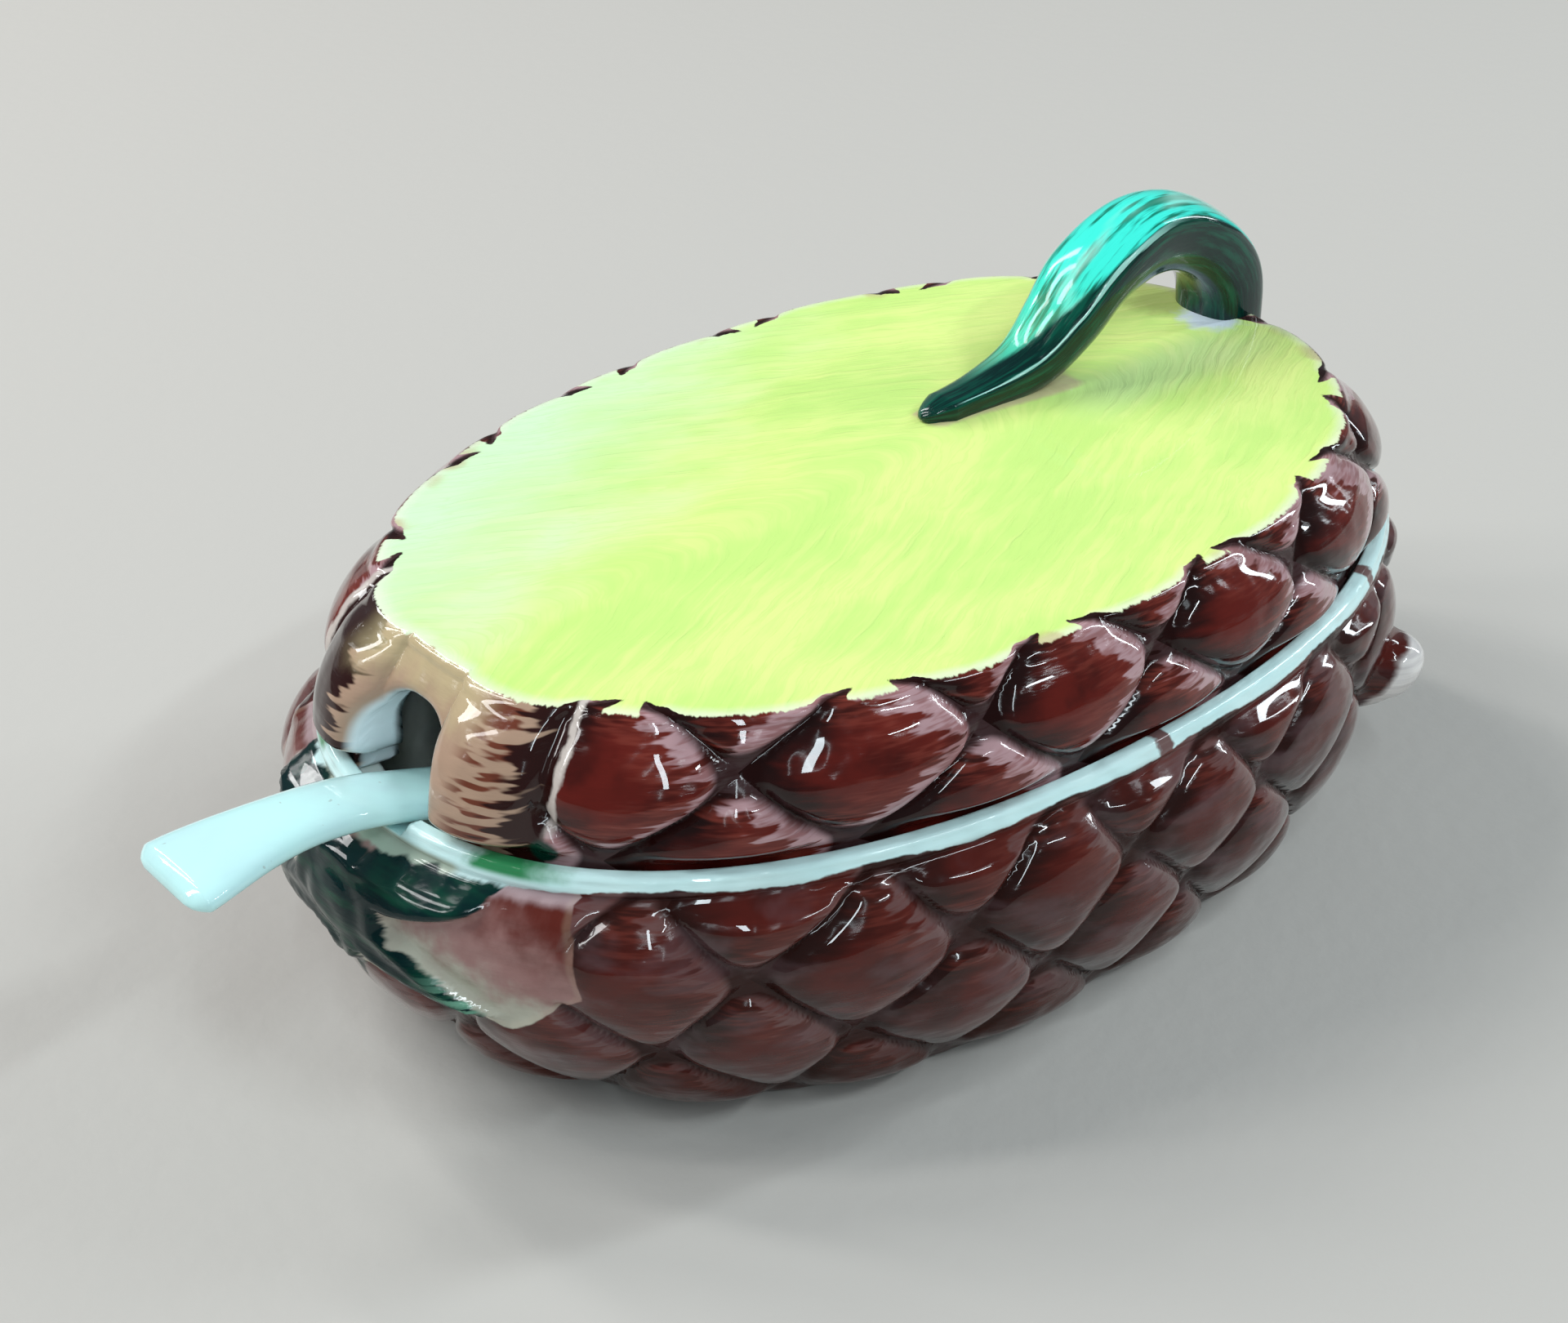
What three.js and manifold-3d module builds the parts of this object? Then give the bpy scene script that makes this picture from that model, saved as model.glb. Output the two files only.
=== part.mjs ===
// A glazed ceramic pineapple dish: a scaled dish, a sliced-fruit lid with a loop handle, and a small spoon.
// Millimetres. X runs along the fruit with the spoon end at -X, and Z is up.
// The origin is on the flat underside, below the middle of the rim.
import * as THREE from "three";
import { mergeVertices } from "three/addons/utils/BufferGeometryUtils.js";
import Module from "manifold-3d";

// Outline of the fruit, seen from above: every level is an oval of this power
const ovalPower = 2.2;
const rimLength = 136;
const rimWidth = 87;

// Dish: the side runs from the base through the belly and draws in at the shoulder to the rim
const dishHeight = 33.5;
const baseLength = 111;
const baseWidth = 78;
const bellyLength = 140;
const bellyWidth = 93.4;
const bellyShift = 2.7;
const bellyPower = 3;
const shoulderStart = 0.68;
const dishWall = 4.2;
const floorThickness = 4.5;
const floorRound = 3;
const mouthDepth = 3;
const rimBand = 2.3;
const rimRound = 0.6;
const rimWall = 1.9;
const ledgeDrop = 2.2;
const ledgeWidth = 3.2;

// Lid: its foot stands in the rim on the ledge, and its flat top is the slice
const lidRise = 14;
const sliceLength = 120;
const sliceWidth = 77.4;
const sliceEdge = 0.8;
const lidSwell = 1.6;
const lidWall = 3.6;
const lidTopThickness = 4;
const ceilingRound = 5;
const lidClearance = 0.35;

// Scales, moulded in relief on a net of diamonds: how many go round, how tall, and the height of a middle
const dishScales = 17;
const dishScaleHeight = 20;
const dishScaleLevel = 23.5;
const dishRelief = 2;
const lidScales = 14;
const lidScaleHeight = 17;
const lidScaleLevel = 9;
const lidRelief = 2;
const leftFlankPower = 1.8;
const rightFlankPower = 2.6;
const cushionPower = 0.7;
const outlinePower = 3.5;
const outlineSoftness = 0.1;
const outlineDepth = 0.3;
const grooveShare = 0.25;
const footFade = 5;
const bandFade = 1.2;
const lidFootFade = 2.4;
const sliceFade = 3;
const sliceReliefShare = 0.42;

// Hand-drawn look of the net: how far it strays along the rim and in height, and where its waves begin
const netDrift = 0.8;
const netLift = 0.55;
const dishNetStart = 1.3;
const lidNetStart = 4.4;
// Each wave: how often it goes round, and its lean in radians per millimetre of height
const netWaves = [
  [5, 0.11],
  [9, 0.21],
  [14, -0.17],
  [23, 0.37],
];

// Notch for the spoon, between two drooping scales
const notchWidth = 14;
const notchHeight = 9.6;
const notchPower = 2.6;
const notchFlare = 2.4;
const lobeWidth = 13;
const lobeSwell = 3;
const lobeLap = 1.5;
const lobeFade = 3.5;

// Crown of leaves on the dish under the notch, on a smooth patch without scales
const crownLevel = 25;
const crownRadius = 7;
const crownSquash = 1.15;
// Leaves of one half: direction in degrees, height of the foot over the middle, length, width, pointedness
const crownLeaves = [
  [14, 3, 18, 6.4, 0],
  [-19, -0.5, 19.5, 7, 1],
  [-90, 0, 12, 7, 1],
];
const bluntPower = 5;
const pointPower = 1.6;
const leafRelief = 2;
const leafFade = 1.1;
const patchReach = 24.5;
const patchLean = 0.24;
const patchFoot = 17;
const patchCorner = 19.2;
const patchCornerSlope = 0.76;
const patchFade = 1.5;
const patchShare = 0.45;

// Cut stub on the near side, at a share of the way round the rim from the middle of the far end
const stubPlaceShare = 0.889;
const stubLevel = 17.5;
const stubWidth = 9.6;
const stubReach = 5;
const stubTipShare = 0.35;

// Handle: a stem that lies on the slice, arches over and comes down on the slice's far edge
const handleStart = 8;
const handleRise = 14.6;
const handleOffset = 3.6;
const handleWidth = 10.5;
const handleThickness = 6.8;
const handleTipWidth = 5;
const handleTipThickness = 3.6;
const handleOverhang = 0.5;
const handleSeat = 0.3;
const handleBluntShare = 0.06;
const handleEndShare = 0.25;
// Where along the handle it starts and ends to widen and to thicken
const handleWidening = [0.1, 0.75];
const handleThickening = [0, 0.35];
// Points on its middle line, each as a share of its run along the slice and a share of its rise
const handleLine = [
  [0, 0.08],
  [0.19, 0.18],
  [0.38, 0.46],
  [0.55, 0.84],
  [0.73, 1],
  [0.89, 0.82],
  [0.98, 0.42],
  [1, -0.25],
];

// Spoon: the stem slopes down through the rim to the bowl and eases to level outside
const stemWidth = 8.5;
const stemThickness = 3.2;
const stemEndWidth = 12.6;
const stemEndTaper = 0.8;
const stemReach = 25;
const stemSlope = THREE.MathUtils.degToRad(20);
const stemEndSlope = THREE.MathUtils.degToRad(-7);
const stemBendPower = 0.65;
const flareStart = 0.3;
const flarePower = 1.5;
const bowlLength = 25;
const bowlWidth = 11.4;
const bowlDepth = 4;
const bowlThickness = 1.8;
const spoonClearance = 0.35;
const channelDepth = 2;
const channelRound = 1.5;

// Fineness of the meshes
const outerStations = 152;
const innerStations = 76;
const dishRows = 11;
const dishRowBias = 1.3;
const lidRows = 8;
const roundSteps = 3;
const notchSteps = 36;
const handleSteps = 40;
const stemSteps = 14;
const bowlSteps = 26;

// How far a cutting solid runs past the faces that it cuts
const proud = 1;

const lidTop = dishHeight + lidRise;
const bandBottom = dishHeight - rimBand;
const ledgeLevel = dishHeight - ledgeDrop;
const lidBottom = ledgeLevel + lidClearance;
const cavityInset = rimWall + ledgeWidth;
const lidFootLength = rimLength / 2 - rimWall - lidClearance;
const lidFootWidth = rimWidth / 2 - rimWall - lidClearance;

const { clamp, lerp, smoothstep } = THREE.MathUtils;
const sideways = new THREE.Vector3(0, 1, 0);
const upwards = new THREE.Vector3(0, 0, 1);
const wasm = await Module();
wasm.setup();

// Joins and cuts

// A closed mesh as a solid for joining and cutting
function toSolid(geometry) {
  const bare = geometry.clone();
  bare.deleteAttribute("normal");
  bare.deleteAttribute("uv");
  const merged = mergeVertices(bare, 1e-4);
  const vertProperties = new Float32Array(merged.attributes.position.array);
  const triVerts = new Uint32Array(merged.index.array);
  return new wasm.Manifold(new wasm.Mesh({ numProp: 3, vertProperties, triVerts }));
}

function toGeometry(solid) {
  const mesh = solid.getMesh();
  const geometry = new THREE.BufferGeometry();
  geometry.setAttribute("position", new THREE.BufferAttribute(mesh.vertProperties, 3));
  geometry.setIndex(new THREE.BufferAttribute(mesh.triVerts, 1));
  geometry.computeVertexNormals();
  return geometry;
}

function cut(body, ...tools) {
  return toGeometry(tools.reduce((left, tool) => left.subtract(toSolid(tool)), toSolid(body)));
}

function join(body, other) {
  return toGeometry(toSolid(body).add(toSolid(other)));
}

// A closed solid through rings of equally many points, each anticlockwise seen from the end that they run to.
// Diagonals alternate, so that the facets lean neither way.
function loft(rings) {
  const count = rings[0].length;
  const centre = (ring) => ring.reduce((sum, p) => sum.add(p), new THREE.Vector3()).divideScalar(count);
  const points = [...rings.flat(), centre(rings[0]), centre(rings.at(-1))];
  const first = points.length - 2;
  const last = points.length - 1;
  const faces = [];
  for (let j = 0; j < count; j++) {
    const next = (j + 1) % count;
    for (let i = 0; i + 1 < rings.length; i++) {
      const a = i * count + j;
      const b = i * count + next;
      if ((i + j) % 2) faces.push(a, b, b + count, a, b + count, a + count);
      else faces.push(a, b, a + count, b, b + count, a + count);
    }
    const top = (rings.length - 1) * count;
    faces.push(first, next, j);
    faces.push(last, top + j, top + next);
  }
  const geometry = new THREE.BufferGeometry().setFromPoints(points);
  geometry.setIndex(faces);
  return geometry;
}

const signedPower = (value, power) => Math.sign(value) * Math.abs(value) ** power;

// Rounded section square to a direction, at a point, with two half sizes; sag hollows its upper side
const sectionPower = 2.4;

function section(point, direction, halfWidth, halfThickness, { count = 20, sag = 0, side = sideways } = {}) {
  const up = new THREE.Vector3().crossVectors(direction, side);
  return Array.from({ length: count }, (_, k) => {
    const angle = (2 * Math.PI * k) / count;
    const across = signedPower(Math.cos(angle), 2 / sectionPower) * halfWidth;
    const lift = signedPower(Math.sin(angle), 2 / sectionPower) * halfThickness - sag * Math.sin(angle) ** 2;
    return point.clone().addScaledVector(up, lift).addScaledVector(side, across);
  });
}

// Fruit outline

class Oval extends THREE.Curve {
  constructor(halfLength, halfWidth) {
    super();
    this.halfLength = halfLength;
    this.halfWidth = halfWidth;
    this.arcLengthDivisions = 1440;
  }

  getPoint(t, target = new THREE.Vector3()) {
    const angle = 2 * Math.PI * t;
    const x = this.halfLength * signedPower(Math.cos(angle), 2 / ovalPower);
    const y = this.halfWidth * signedPower(Math.sin(angle), 2 / ovalPower);
    return target.set(x, y, 0);
  }

  // Outward direction across the outline
  getNormal(t) {
    const p = this.getPoint(t);
    const x = signedPower(p.x / this.halfLength, ovalPower - 1) / this.halfLength;
    const y = signedPower(p.y / this.halfWidth, ovalPower - 1) / this.halfWidth;
    return new THREE.Vector3(x, y, 0).normalize();
  }
}

const rim = new Oval(rimLength / 2, rimWidth / 2);
const girth = rim.getLength();

// A station at a share of the way round the rim from the far end; along is its distance from the spoon end
const station = (share) => ({ t: rim.getUtoTmapping(share), along: (share - 0.5) * girth });
const stations = (count) => Array.from({ length: count }, (_, k) => station(k / count));
const outer = stations(outerStations);
const inner = stations(innerStations);

// A level ring on an oval of the given half sizes, swelled outwards by relief(along, z)
function ring(list, halfLength, halfWidth, z, relief = () => 0) {
  const oval = new Oval(halfLength, halfWidth);
  return list.map(({ t, along }) => {
    const point = oval.getPoint(t).addScaledVector(oval.getNormal(t), relief(along, z));
    return point.setZ(z);
  });
}

// Relief

// A sum of waves round the girth, each smaller than the one before
function stray(along, z, start) {
  const turn = (2 * Math.PI * along) / girth;
  const wave = ([count, lean], k) => Math.sin(count * turn + lean * z + start * (k + 1.7)) / (k + 1.5);
  return netWaves.reduce((sum, each, k) => sum + wave(each, k), 0);
}

// Cushion of a net of diamonds: 1 in a scale's middle, steeper on the right, sunk along its rounded outline
function cushion(along, z, { count, height, level, shift, start }) {
  const across = ((along + netDrift * stray(along, z, start)) * count) / girth + shift;
  const up = (z + netLift * stray(along, z, start + 3) - level) / height;
  const [one, other] = [across + up, across - up].map((v) => 2 * (v - Math.round(v)));
  const flank = (side) => 1 - Math.abs(side) ** (side < 0 ? leftFlankPower : rightFlankPower);
  const outline = (Math.abs(one) ** outlinePower + Math.abs(other) ** outlinePower) ** (1 / outlinePower);
  const groove = Math.exp(-(((1 - Math.min(outline, 1)) / outlineSoftness) ** 2));
  return (flank(one) * flank(other)) ** cushionPower - outlineDepth * groove;
}

// How far a place lies inside the crown: in its middle or in any leaf, which ends blunt or narrows to a point
function crownInside(along, z) {
  const beside = Math.abs(along);
  const up = z - crownLevel;
  let inside = crownRadius - Math.hypot(beside, up * crownSquash);
  for (const [degrees, foot, length, width, pointed] of crownLeaves) {
    const angle = THREE.MathUtils.degToRad(degrees);
    const forward = beside * Math.cos(angle) + (up - foot) * Math.sin(angle);
    const aside = (up - foot) * Math.cos(angle) - beside * Math.sin(angle);
    const share = clamp(forward / length, 0, 1);
    const blunt = Math.sqrt(1 - share ** bluntPower);
    const narrow = 1 - share ** pointPower;
    if (forward > 0) inside = Math.max(inside, (width / 2) * lerp(blunt, narrow, pointed) - Math.abs(aside));
  }
  return inside;
}

// How far a place lies inside the smooth patch: between slanting sides, over a foot that rises to them
function patchInside(along, z) {
  const beside = Math.abs(along);
  const sides = patchReach + patchLean * (dishHeight - z) - beside;
  const overFoot = z - patchFoot - patchCornerSlope * Math.max(0, beside - patchCorner);
  return Math.min(sides, overFoot);
}

// Dish

// How far a height lies into the shoulder that draws the side in from the belly to the rim
const shoulderAt = (up) => Math.max(0, (up - shoulderStart) / (1 - shoulderStart)) ** 2;

// Half size of the dish's smooth side at a share of its height, between its base, belly and rim
function dishSide(up, base, belly, rimSize) {
  return (belly - (belly - base) * (1 - up) ** bellyPower - (belly - rimSize) * shoulderAt(up)) / 2;
}

// A ring of the dish's side, or of its inner wall at an inset from it
function dishRing(list, z, inset, relief) {
  const up = clamp(z / dishHeight, 0, 1);
  const halfLength = dishSide(up, baseLength, bellyLength, rimLength) - inset;
  const halfWidth = dishSide(up, baseWidth, bellyWidth, rimWidth) - inset;
  const shift = bellyShift * (1 - shoulderAt(up));
  return ring(list, halfLength, halfWidth, z, relief).map((p) => p.setX(p.x - shift));
}

const dishNet = {
  count: dishScales,
  height: dishScaleHeight,
  level: dishScaleLevel,
  shift: 0.5,
  start: dishNetStart,
};

// Scales all round but for the smooth patch with the crown, fading out at the foot and at the rim band
function dishReliefAt(along, z) {
  const fade = smoothstep(z, 0, footFade) * (1 - smoothstep(z, bandBottom - bandFade, bandBottom));
  const patch = smoothstep(patchInside(along, z), -patchFade / 2, patchFade);
  const leaf = smoothstep(crownInside(along, z), -leafFade / 2, leafFade);
  const swell = dishRelief * lerp(cushion(along, z, dishNet), patchShare, patch) + leafRelief * leaf * patch;
  return fade * swell - grooveShare * dishRelief;
}

function makeDish() {
  const rows = [];
  for (let k = 0; k <= dishRows; k++) {
    const z = bandBottom * (k / dishRows) ** dishRowBias;
    rows.push(dishRing(outer, z, 0, dishReliefAt));
  }
  rows.push(ring(outer, rimLength / 2, rimWidth / 2, bandBottom));
  rows.push(ring(outer, rimLength / 2, rimWidth / 2, dishHeight - rimRound));
  rows.push(ring(outer, rimLength / 2 - rimRound, rimWidth / 2 - rimRound, dishHeight));
  return cut(join(loft(rows), makeStub()), makeGallery(), makeHollow(), makeChannel());
}

// The stub's rounded end, standing out of the dish's wall
function makeStub() {
  const place = station(stubPlaceShare);
  const foot = dishRing([place], stubLevel, 0)[0];
  const outward = rim.getNormal(place.t);
  const side = new THREE.Vector3().crossVectors(upwards, outward);
  const steps = 2 * roundSteps;
  const rings = Array.from({ length: steps + 1 }, (_, k) => {
    const angle = (Math.PI / 2) * (k / steps);
    const point = foot.clone().addScaledVector(outward, lerp(-dishWall / 2, stubReach, Math.sin(angle)));
    const half = (stubWidth / 2) * Math.max(stubTipShare, Math.sqrt(Math.cos(angle)));
    return section(point, outward, half, half, { count: 16, side });
  });
  return loft(rings);
}

// Space inside the rim, down to the ledge that carries the lid
function makeGallery() {
  const halfLength = rimLength / 2 - rimWall;
  const halfWidth = rimWidth / 2 - rimWall;
  return loft([ledgeLevel, dishHeight + proud].map((z) => ring(inner, halfLength, halfWidth, z)));
}

// Space for the food, with a rounded floor and a mouth inside the ledge
function makeHollow() {
  const rings = [];
  for (let k = 0; k <= roundSteps; k++) {
    const angle = (Math.PI / 2) * (k / roundSteps);
    const z = floorThickness + floorRound * (1 - Math.cos(angle));
    rings.push(dishRing(inner, z, dishWall + floorRound * (1 - Math.sin(angle))));
  }
  for (const share of [1 / 3, 2 / 3]) {
    const z = lerp(floorThickness + floorRound, ledgeLevel - mouthDepth, share);
    rings.push(dishRing(inner, z, dishWall));
  }
  for (const z of [ledgeLevel - mouthDepth, ledgeLevel + proud]) {
    rings.push(ring(inner, rimLength / 2 - cavityInset, rimWidth / 2 - cavityInset, z));
  }
  return loft(rings);
}

// Lid

const lidNet = {
  count: lidScales,
  height: lidScaleHeight,
  level: dishHeight + lidScaleLevel,
  shift: 0,
  start: lidNetStart,
};

// Scales all round but for the two lobes beside the notch, fading out at the foot and nearly so at the slice
function lidReliefAt(along, z) {
  const atSlice = smoothstep(z, lidTop - sliceFade, lidTop);
  const fade = smoothstep(z, dishHeight, dishHeight + lidFootFade) * lerp(1, sliceReliefShare, atSlice);
  const fromMiddle = Math.abs(along) - (notchWidth + lobeWidth) / 2 + lobeLap;
  const lobe = Math.sqrt(Math.max(0, 1 - ((2 * fromMiddle) / lobeWidth) ** 2));
  const lobeEnd = notchWidth / 2 + lobeWidth;
  const atNotch = 1 - smoothstep(Math.abs(along), lobeEnd - lobeFade, lobeEnd);
  return fade * lerp(lidRelief * cushion(along, z, lidNet), lobeSwell * lobe, atNotch);
}

// The lid's outside, grown sideways all round by a margin
function lidOutside(margin) {
  const footLength = lidFootLength + margin;
  const footWidth = lidFootWidth + margin;
  const topLength = sliceLength / 2 + margin;
  const topWidth = sliceWidth / 2 + margin;
  const rows = [lidBottom, dishHeight - rimRound].map((z) => ring(outer, footLength, footWidth, z));
  for (let k = 0; k <= lidRows; k++) {
    const share = k / lidRows;
    const swell = lidSwell * Math.sin(Math.PI * share);
    const halfLength = lerp(footLength, topLength, share) + swell;
    const halfWidth = lerp(footWidth, topWidth, share) + swell;
    rows.push(ring(outer, halfLength, halfWidth, lerp(dishHeight, lidTop - sliceEdge, share), lidReliefAt));
  }
  rows.push(ring(outer, topLength - sliceEdge, topWidth - sliceEdge, lidTop, lidReliefAt));
  return loft(rows);
}

function makeLid() {
  const ceiling = lidTop - lidTopThickness;
  const halfLength = lidFootLength - lidWall;
  const halfWidth = lidFootWidth - lidWall;
  const hollow = [ring(inner, halfLength, halfWidth, lidBottom - proud)];
  for (let k = 0; k <= roundSteps; k++) {
    const angle = (Math.PI / 2) * (k / roundSteps);
    const inset = ceilingRound * (1 - Math.cos(angle));
    const z = ceiling - ceilingRound * (1 - Math.sin(angle));
    hollow.push(ring(inner, halfLength - inset, halfWidth - inset, z));
  }
  return cut(lidOutside(0), loft(hollow), makeNotch());
}

// Arch that runs in through the lid's wall at the spoon end, from outside the lobes past the rounded ceiling.
// Its foot flares round the ends of the two lobes.
function makeNotch() {
  const arch = Array.from({ length: notchSteps + 1 }, (_, k) => {
    const angle = (Math.PI * k) / notchSteps;
    const y = (notchWidth / 2) * signedPower(Math.cos(angle), 2 / notchPower);
    const z = notchHeight * Math.abs(Math.sin(angle)) ** (2 / notchPower);
    const inFlare = Math.max(0, notchFlare - z);
    const flare = notchFlare - Math.sqrt(notchFlare ** 2 - inFlare ** 2);
    return new THREE.Vector2(y + Math.sign(y) * flare, dishHeight + z);
  });
  const foot = notchWidth / 2 + notchFlare;
  const below = lidBottom - proud;
  arch.push(new THREE.Vector2(-foot, below), new THREE.Vector2(foot, below));
  const outwards = lobeSwell + lidSwell + proud;
  const depth = outwards + lidWall + ceilingRound + proud;
  const geometry = new THREE.ExtrudeGeometry(new THREE.Shape(arch), { depth, bevelEnabled: false });
  const turn = new THREE.Matrix4().makeBasis(sideways, upwards, new THREE.Vector3(1, 0, 0));
  return geometry.applyMatrix4(turn).translate(-(lidFootLength + outwards), 0, 0);
}

// Handle

function makeHandle() {
  const end = sliceLength / 2 + handleOverhang;
  const points = handleLine.map(
    ([run, rise]) => new THREE.Vector3(lerp(handleStart, end, run), handleOffset, lidTop + rise * handleRise),
  );
  const path = new THREE.CatmullRomCurve3(points, false, "centripetal");
  const rings = [];
  for (let k = 0; k <= handleSteps; k++) {
    const share = k / handleSteps;
    const blunt = Math.max(handleEndShare, Math.sqrt(Math.min(1, share / handleBluntShare)));
    const width = lerp(handleTipWidth, handleWidth, smoothstep(share, ...handleWidening));
    const thickness = lerp(handleTipThickness, handleThickness, smoothstep(share, ...handleThickening));
    const size = [(blunt * width) / 2, (blunt * thickness) / 2];
    rings.push(section(path.getPoint(share), path.getTangent(share), ...size, { count: 16 }));
  }
  return cut(loft(rings), lidOutside(handleSeat));
}

// Spoon

// Where the stem lies in the rim, and the directions down into the dish and square to the stem
const seat = new THREE.Vector3(-(rimLength / 2 - rimWall), 0, dishHeight - channelDepth);
const down = new THREE.Vector3(Math.cos(stemSlope), 0, -Math.sin(stemSlope));
const offStem = new THREE.Vector3(Math.sin(stemSlope), 0, Math.cos(stemSlope));

// Channel through the rim and the ledge, along the stem
function makeChannel() {
  const half = stemWidth / 2 + 2 * spoonClearance;
  const height = 3 * channelDepth;
  const shape = new THREE.Shape();
  shape.moveTo(-half, channelRound);
  shape.absarc(-half + channelRound, channelRound, channelRound, Math.PI, 1.5 * Math.PI);
  shape.absarc(half - channelRound, channelRound, channelRound, 1.5 * Math.PI, 2 * Math.PI);
  shape.lineTo(half, height);
  shape.lineTo(-half, height);
  const depth = 2 * cavityInset;
  const geometry = new THREE.ExtrudeGeometry(shape, { depth, bevelEnabled: false, curveSegments: 4 });
  geometry.translate(0, 0, -depth / 2);
  const turn = new THREE.Matrix4().makeBasis(sideways, offStem, down).setPosition(seat);
  return geometry.applyMatrix4(turn);
}

// A section of the spoon whose underside passes through a point, lifted off it and hollowed by a sag
function spoonSection(under, direction, width, thickness, lift = 0, sag = 0) {
  const up = new THREE.Vector3().crossVectors(direction, sideways);
  const point = under.clone().addScaledVector(up, thickness / 2 + lift);
  return section(point, direction, width / 2, thickness / 2, { sag });
}

// Outside the rim the stem eases from its slope to its end's, and flares; its rings run back to the rim
function stemRings(corner) {
  const rings = [];
  const under = corner.clone();
  for (let k = 0; k <= stemSteps; k++) {
    const share = k / stemSteps;
    const slope = lerp(stemSlope, stemEndSlope, smoothstep(share, 0, 1) ** stemBendPower);
    const direction = new THREE.Vector3(Math.cos(slope), 0, -Math.sin(slope));
    const taper = k === stemSteps ? stemEndTaper : 1;
    const width = lerp(stemWidth, stemEndWidth, smoothstep(share, flareStart, 1) ** flarePower);
    rings.unshift(spoonSection(under, direction, width * Math.sqrt(taper), stemThickness * taper));
    under.addScaledVector(direction, -stemReach / stemSteps);
  }
  return rings;
}

// Inside, the underside stays in line with the stem to the middle of the bowl, whose tip turns up.
// So the tip may pass the point where that line meets the floor by a third of the bowl's length.
function bowlRings(corner) {
  const rings = [];
  const drop = corner.z - floorThickness - spoonClearance;
  const inward = drop / Math.sin(stemSlope) + bowlLength / 3;
  for (let k = 1; k <= bowlSteps; k++) {
    const reach = (inward * k) / bowlSteps;
    const share = Math.max(0, (reach - inward) / bowlLength + 1);
    const tip = Math.sqrt(Math.max(0.004, 1 - share ** 6));
    const belly = Math.sin(Math.PI * (0.97 * share) ** 0.85) ** 0.8;
    const neck = stemWidth * (1 - smoothstep(share, 0, 0.6));
    const width = tip * Math.max(neck, bowlWidth * belly);
    const sag = bowlDepth * Math.max(0, Math.sin(Math.PI * share)) ** 0.7;
    const lift = share < 0.5 ? sag : bowlDepth;
    const thickness = lerp(stemThickness, bowlThickness, smoothstep(share, 0, 0.4));
    const under = corner.clone().addScaledVector(down, reach);
    rings.push(spoonSection(under, down, width, thickness, lift, sag));
  }
  return rings;
}

function makeSpoon() {
  const corner = seat.clone().addScaledVector(offStem, spoonClearance);
  return loft([...stemRings(corner), ...bowlRings(corner)]);
}

// Assembly

function piece(name, geometry, color) {
  const material = new THREE.MeshStandardMaterial({ color, roughness: 0.15, metalness: 0 });
  const mesh = new THREE.Mesh(geometry, material);
  mesh.name = name;
  return mesh;
}

const lid = new THREE.Group();
lid.add(piece("lid", makeLid(), 0x5e241c));
lid.add(piece("lid_handle", makeHandle(), 0x0d5a4a));

const group = new THREE.Group();
group.add(piece("dish", makeDish(), 0x4a1d18));
group.add(lid);
group.add(piece("spoon", makeSpoon(), 0xe4f2f0));

export default group;
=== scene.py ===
"""Glazed pineapple jam dish: a scaled dish with a painted crown, a lid like a cut slice with a stem for a
handle, and a small spoon.  Shapes are worked out in millimetres and turned to metres when a mesh is made.

Two lengths follow the skin of the dish and of the lid: `along` runs round the rim, 0 in the middle of the
spoon end and growing towards the near side (-Y), and `level` is the height, carried on over edges as a
length of surface.
"""

import math
from functools import reduce
from types import SimpleNamespace

import bpy
import numpy as np
from bpy.props import FloatProperty, FloatVectorProperty, IntProperty, PointerProperty
from mathutils import Matrix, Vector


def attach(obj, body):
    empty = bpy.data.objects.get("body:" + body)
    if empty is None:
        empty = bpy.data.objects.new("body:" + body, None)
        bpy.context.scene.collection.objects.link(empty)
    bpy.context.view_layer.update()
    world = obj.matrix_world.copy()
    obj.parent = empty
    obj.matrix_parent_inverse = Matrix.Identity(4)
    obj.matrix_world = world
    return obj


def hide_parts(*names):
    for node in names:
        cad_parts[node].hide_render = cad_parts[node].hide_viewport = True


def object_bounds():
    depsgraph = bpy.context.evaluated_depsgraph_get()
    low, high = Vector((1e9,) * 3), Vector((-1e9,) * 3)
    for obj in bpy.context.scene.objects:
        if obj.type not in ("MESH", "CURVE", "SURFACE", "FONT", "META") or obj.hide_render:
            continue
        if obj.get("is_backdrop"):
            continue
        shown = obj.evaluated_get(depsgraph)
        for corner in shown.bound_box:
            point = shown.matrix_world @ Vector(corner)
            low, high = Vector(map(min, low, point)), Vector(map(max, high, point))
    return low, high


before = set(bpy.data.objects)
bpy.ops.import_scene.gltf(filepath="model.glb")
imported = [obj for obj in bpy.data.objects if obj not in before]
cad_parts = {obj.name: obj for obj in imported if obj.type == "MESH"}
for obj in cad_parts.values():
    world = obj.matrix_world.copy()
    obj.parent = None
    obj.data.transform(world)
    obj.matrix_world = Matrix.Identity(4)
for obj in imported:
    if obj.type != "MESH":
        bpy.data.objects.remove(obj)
cad_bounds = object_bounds()

bl_info = {
    "name": "Pineapple Dish",
    "version": (1, 0, 0),
    "blender": (4, 5, 0),
    "location": "View3D > Sidebar > Pineapple Dish",
    "description": "Glazed pineapple dish with a slice lid, a stem handle and a spoon",
    "category": "Object",
}

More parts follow.
